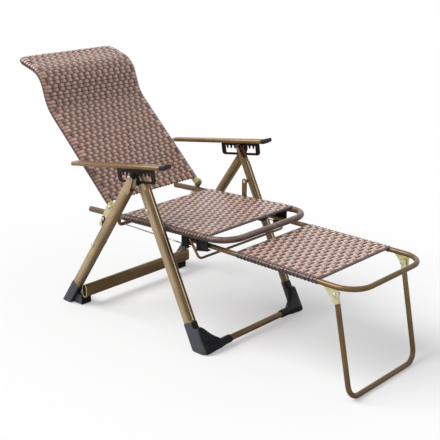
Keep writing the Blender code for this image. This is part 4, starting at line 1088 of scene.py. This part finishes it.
class CHAIR_OT_stage(bpy.types.Operator):
    """Set the floor, the light and the camera"""

    bl_idname = "chair.stage"
    bl_label = "Set the stage"

    def execute(self, context):
        scene = context.scene
        settings = scene.chair_stage
        scene.view_settings.view_transform = "Standard"
        self.floor(settings)
        self.sky(scene, settings)
        self.lamp("key", KEY_AT, settings.key, KEY_SPREAD)
        lens = bpy.data.cameras.new("photograph")
        lens.sensor_width = SENSOR
        lens.lens = FOCAL_PIXELS / IMAGE_SIDE * SENSOR
        camera = bpy.data.objects.new("photograph", lens)
        scene.collection.objects.link(camera)
        camera.location = CAMERA_AT
        camera.rotation_euler = (math.pi / 2 - CAMERA_ELEVATION, 0, CAMERA_AZIMUTH)
        scene.camera = camera
        return {"FINISHED"}

    def floor(self, settings):
        """A wide pale floor that glows a little to the camera."""
        material, nodes, links, shader = shader_tree("pale_floor")
        shader.inputs["Base Color"].default_value = (*shade(settings.floor, 1 - settings.glow), 1)
        shader.inputs["Emission Color"].default_value = (1, 1, 1, 1)
        path = nodes.new("ShaderNodeLightPath")
        glow = ranged(nodes, links, path.outputs["Is Camera Ray"], 0.0, settings.glow)
        links.new(glow, shader.inputs["Emission Strength"])
        shader.inputs["Roughness"].default_value = 0.9
        shader.inputs["Specular IOR Level"].default_value = 0.1
        work = bmesh.new()
        bmesh.ops.create_grid(work, x_segments=1, y_segments=1, size=FLOOR_HALF)
        mesh = bpy.data.meshes.new("floor")
        work.to_mesh(mesh)
        work.free()
        mesh.materials.append(material)
        floor = shown("floor", mesh)
        floor.location.z = -FLOOR_DROP

    def sky(self, scene, settings):
        """White to the camera and in reflections, softer as a light."""
        world = bpy.data.worlds.new("studio")
        scene.world = world
        world.use_nodes = True
        nodes, links = world.node_tree.nodes, world.node_tree.links
        ground = nodes["Background"]
        ground.inputs["Color"].default_value = (1, 1, 1, 1)
        path = nodes.new("ShaderNodeLightPath")
        seen = path.outputs["Is Camera Ray"]
        for ray in ("Is Glossy Ray", "Is Transmission Ray"):
            either = nodes.new("ShaderNodeMath")
            either.operation = "MAXIMUM"
            links.new(seen, either.inputs[0])
            links.new(path.outputs[ray], either.inputs[1])
            seen = either.outputs["Value"]
        strength = nodes.new("ShaderNodeMapRange")
        strength.inputs["To Min"].default_value = settings.sky
        strength.inputs["To Max"].default_value = 1.0
        links.new(seen, strength.inputs["Value"])
        links.new(strength.outputs["Result"], ground.inputs["Strength"])

    def lamp(self, name, place, strength, spread):
        """A broad sun lamp turned to the chair."""
        light = bpy.data.lights.new(name, "SUN")
        light.energy = strength
        light.angle = math.radians(spread)
        lamp = bpy.data.objects.new(name, light)
        bpy.context.scene.collection.objects.link(lamp)
        lamp.location = place
        aim = KEY_AIM - lamp.location
        lamp.rotation_euler = aim.to_track_quat("-Z", "Y").to_euler()


OPERATORS = (
    CHAIR_OT_weave,
    CHAIR_OT_wind,
    CHAIR_OT_tubes,
    CHAIR_OT_legs,
    CHAIR_OT_plastics,
    CHAIR_OT_plates,
    CHAIR_OT_rivets,
    CHAIR_OT_fittings,
    CHAIR_OT_stage,
)


class CHAIR_PT_panel(bpy.types.Panel):
    """Lists the steps that dress the chair"""

    bl_idname = "CHAIR_PT_panel"
    bl_label = "Folding lounge chair"
    bl_space_type = "VIEW_3D"
    bl_region_type = "UI"
    bl_category = "Chair"

    def draw(self, context):
        for step in OPERATORS:
            self.layout.operator(step.bl_idname)


GROUPS = {"chair_weave": WeaveSizes, "chair_colours": FinishColours, "chair_stage": StageSettings}


def register():
    for group in GROUPS.values():
        bpy.utils.register_class(group)
    for step in (*OPERATORS, CHAIR_PT_panel):
        bpy.utils.register_class(step)
    for name, group in GROUPS.items():
        setattr(bpy.types.Scene, name, PointerProperty(type=group))


def unregister():
    for name in GROUPS:
        delattr(bpy.types.Scene, name)
    for step in (CHAIR_PT_panel, *reversed(OPERATORS), *GROUPS.values()):
        bpy.utils.unregister_class(step)


def main():
    register()
    for step in OPERATORS:
        family, name = step.bl_idname.split(".")
        getattr(getattr(bpy.ops, family), name)()


if __name__ == "__main__":
    main()
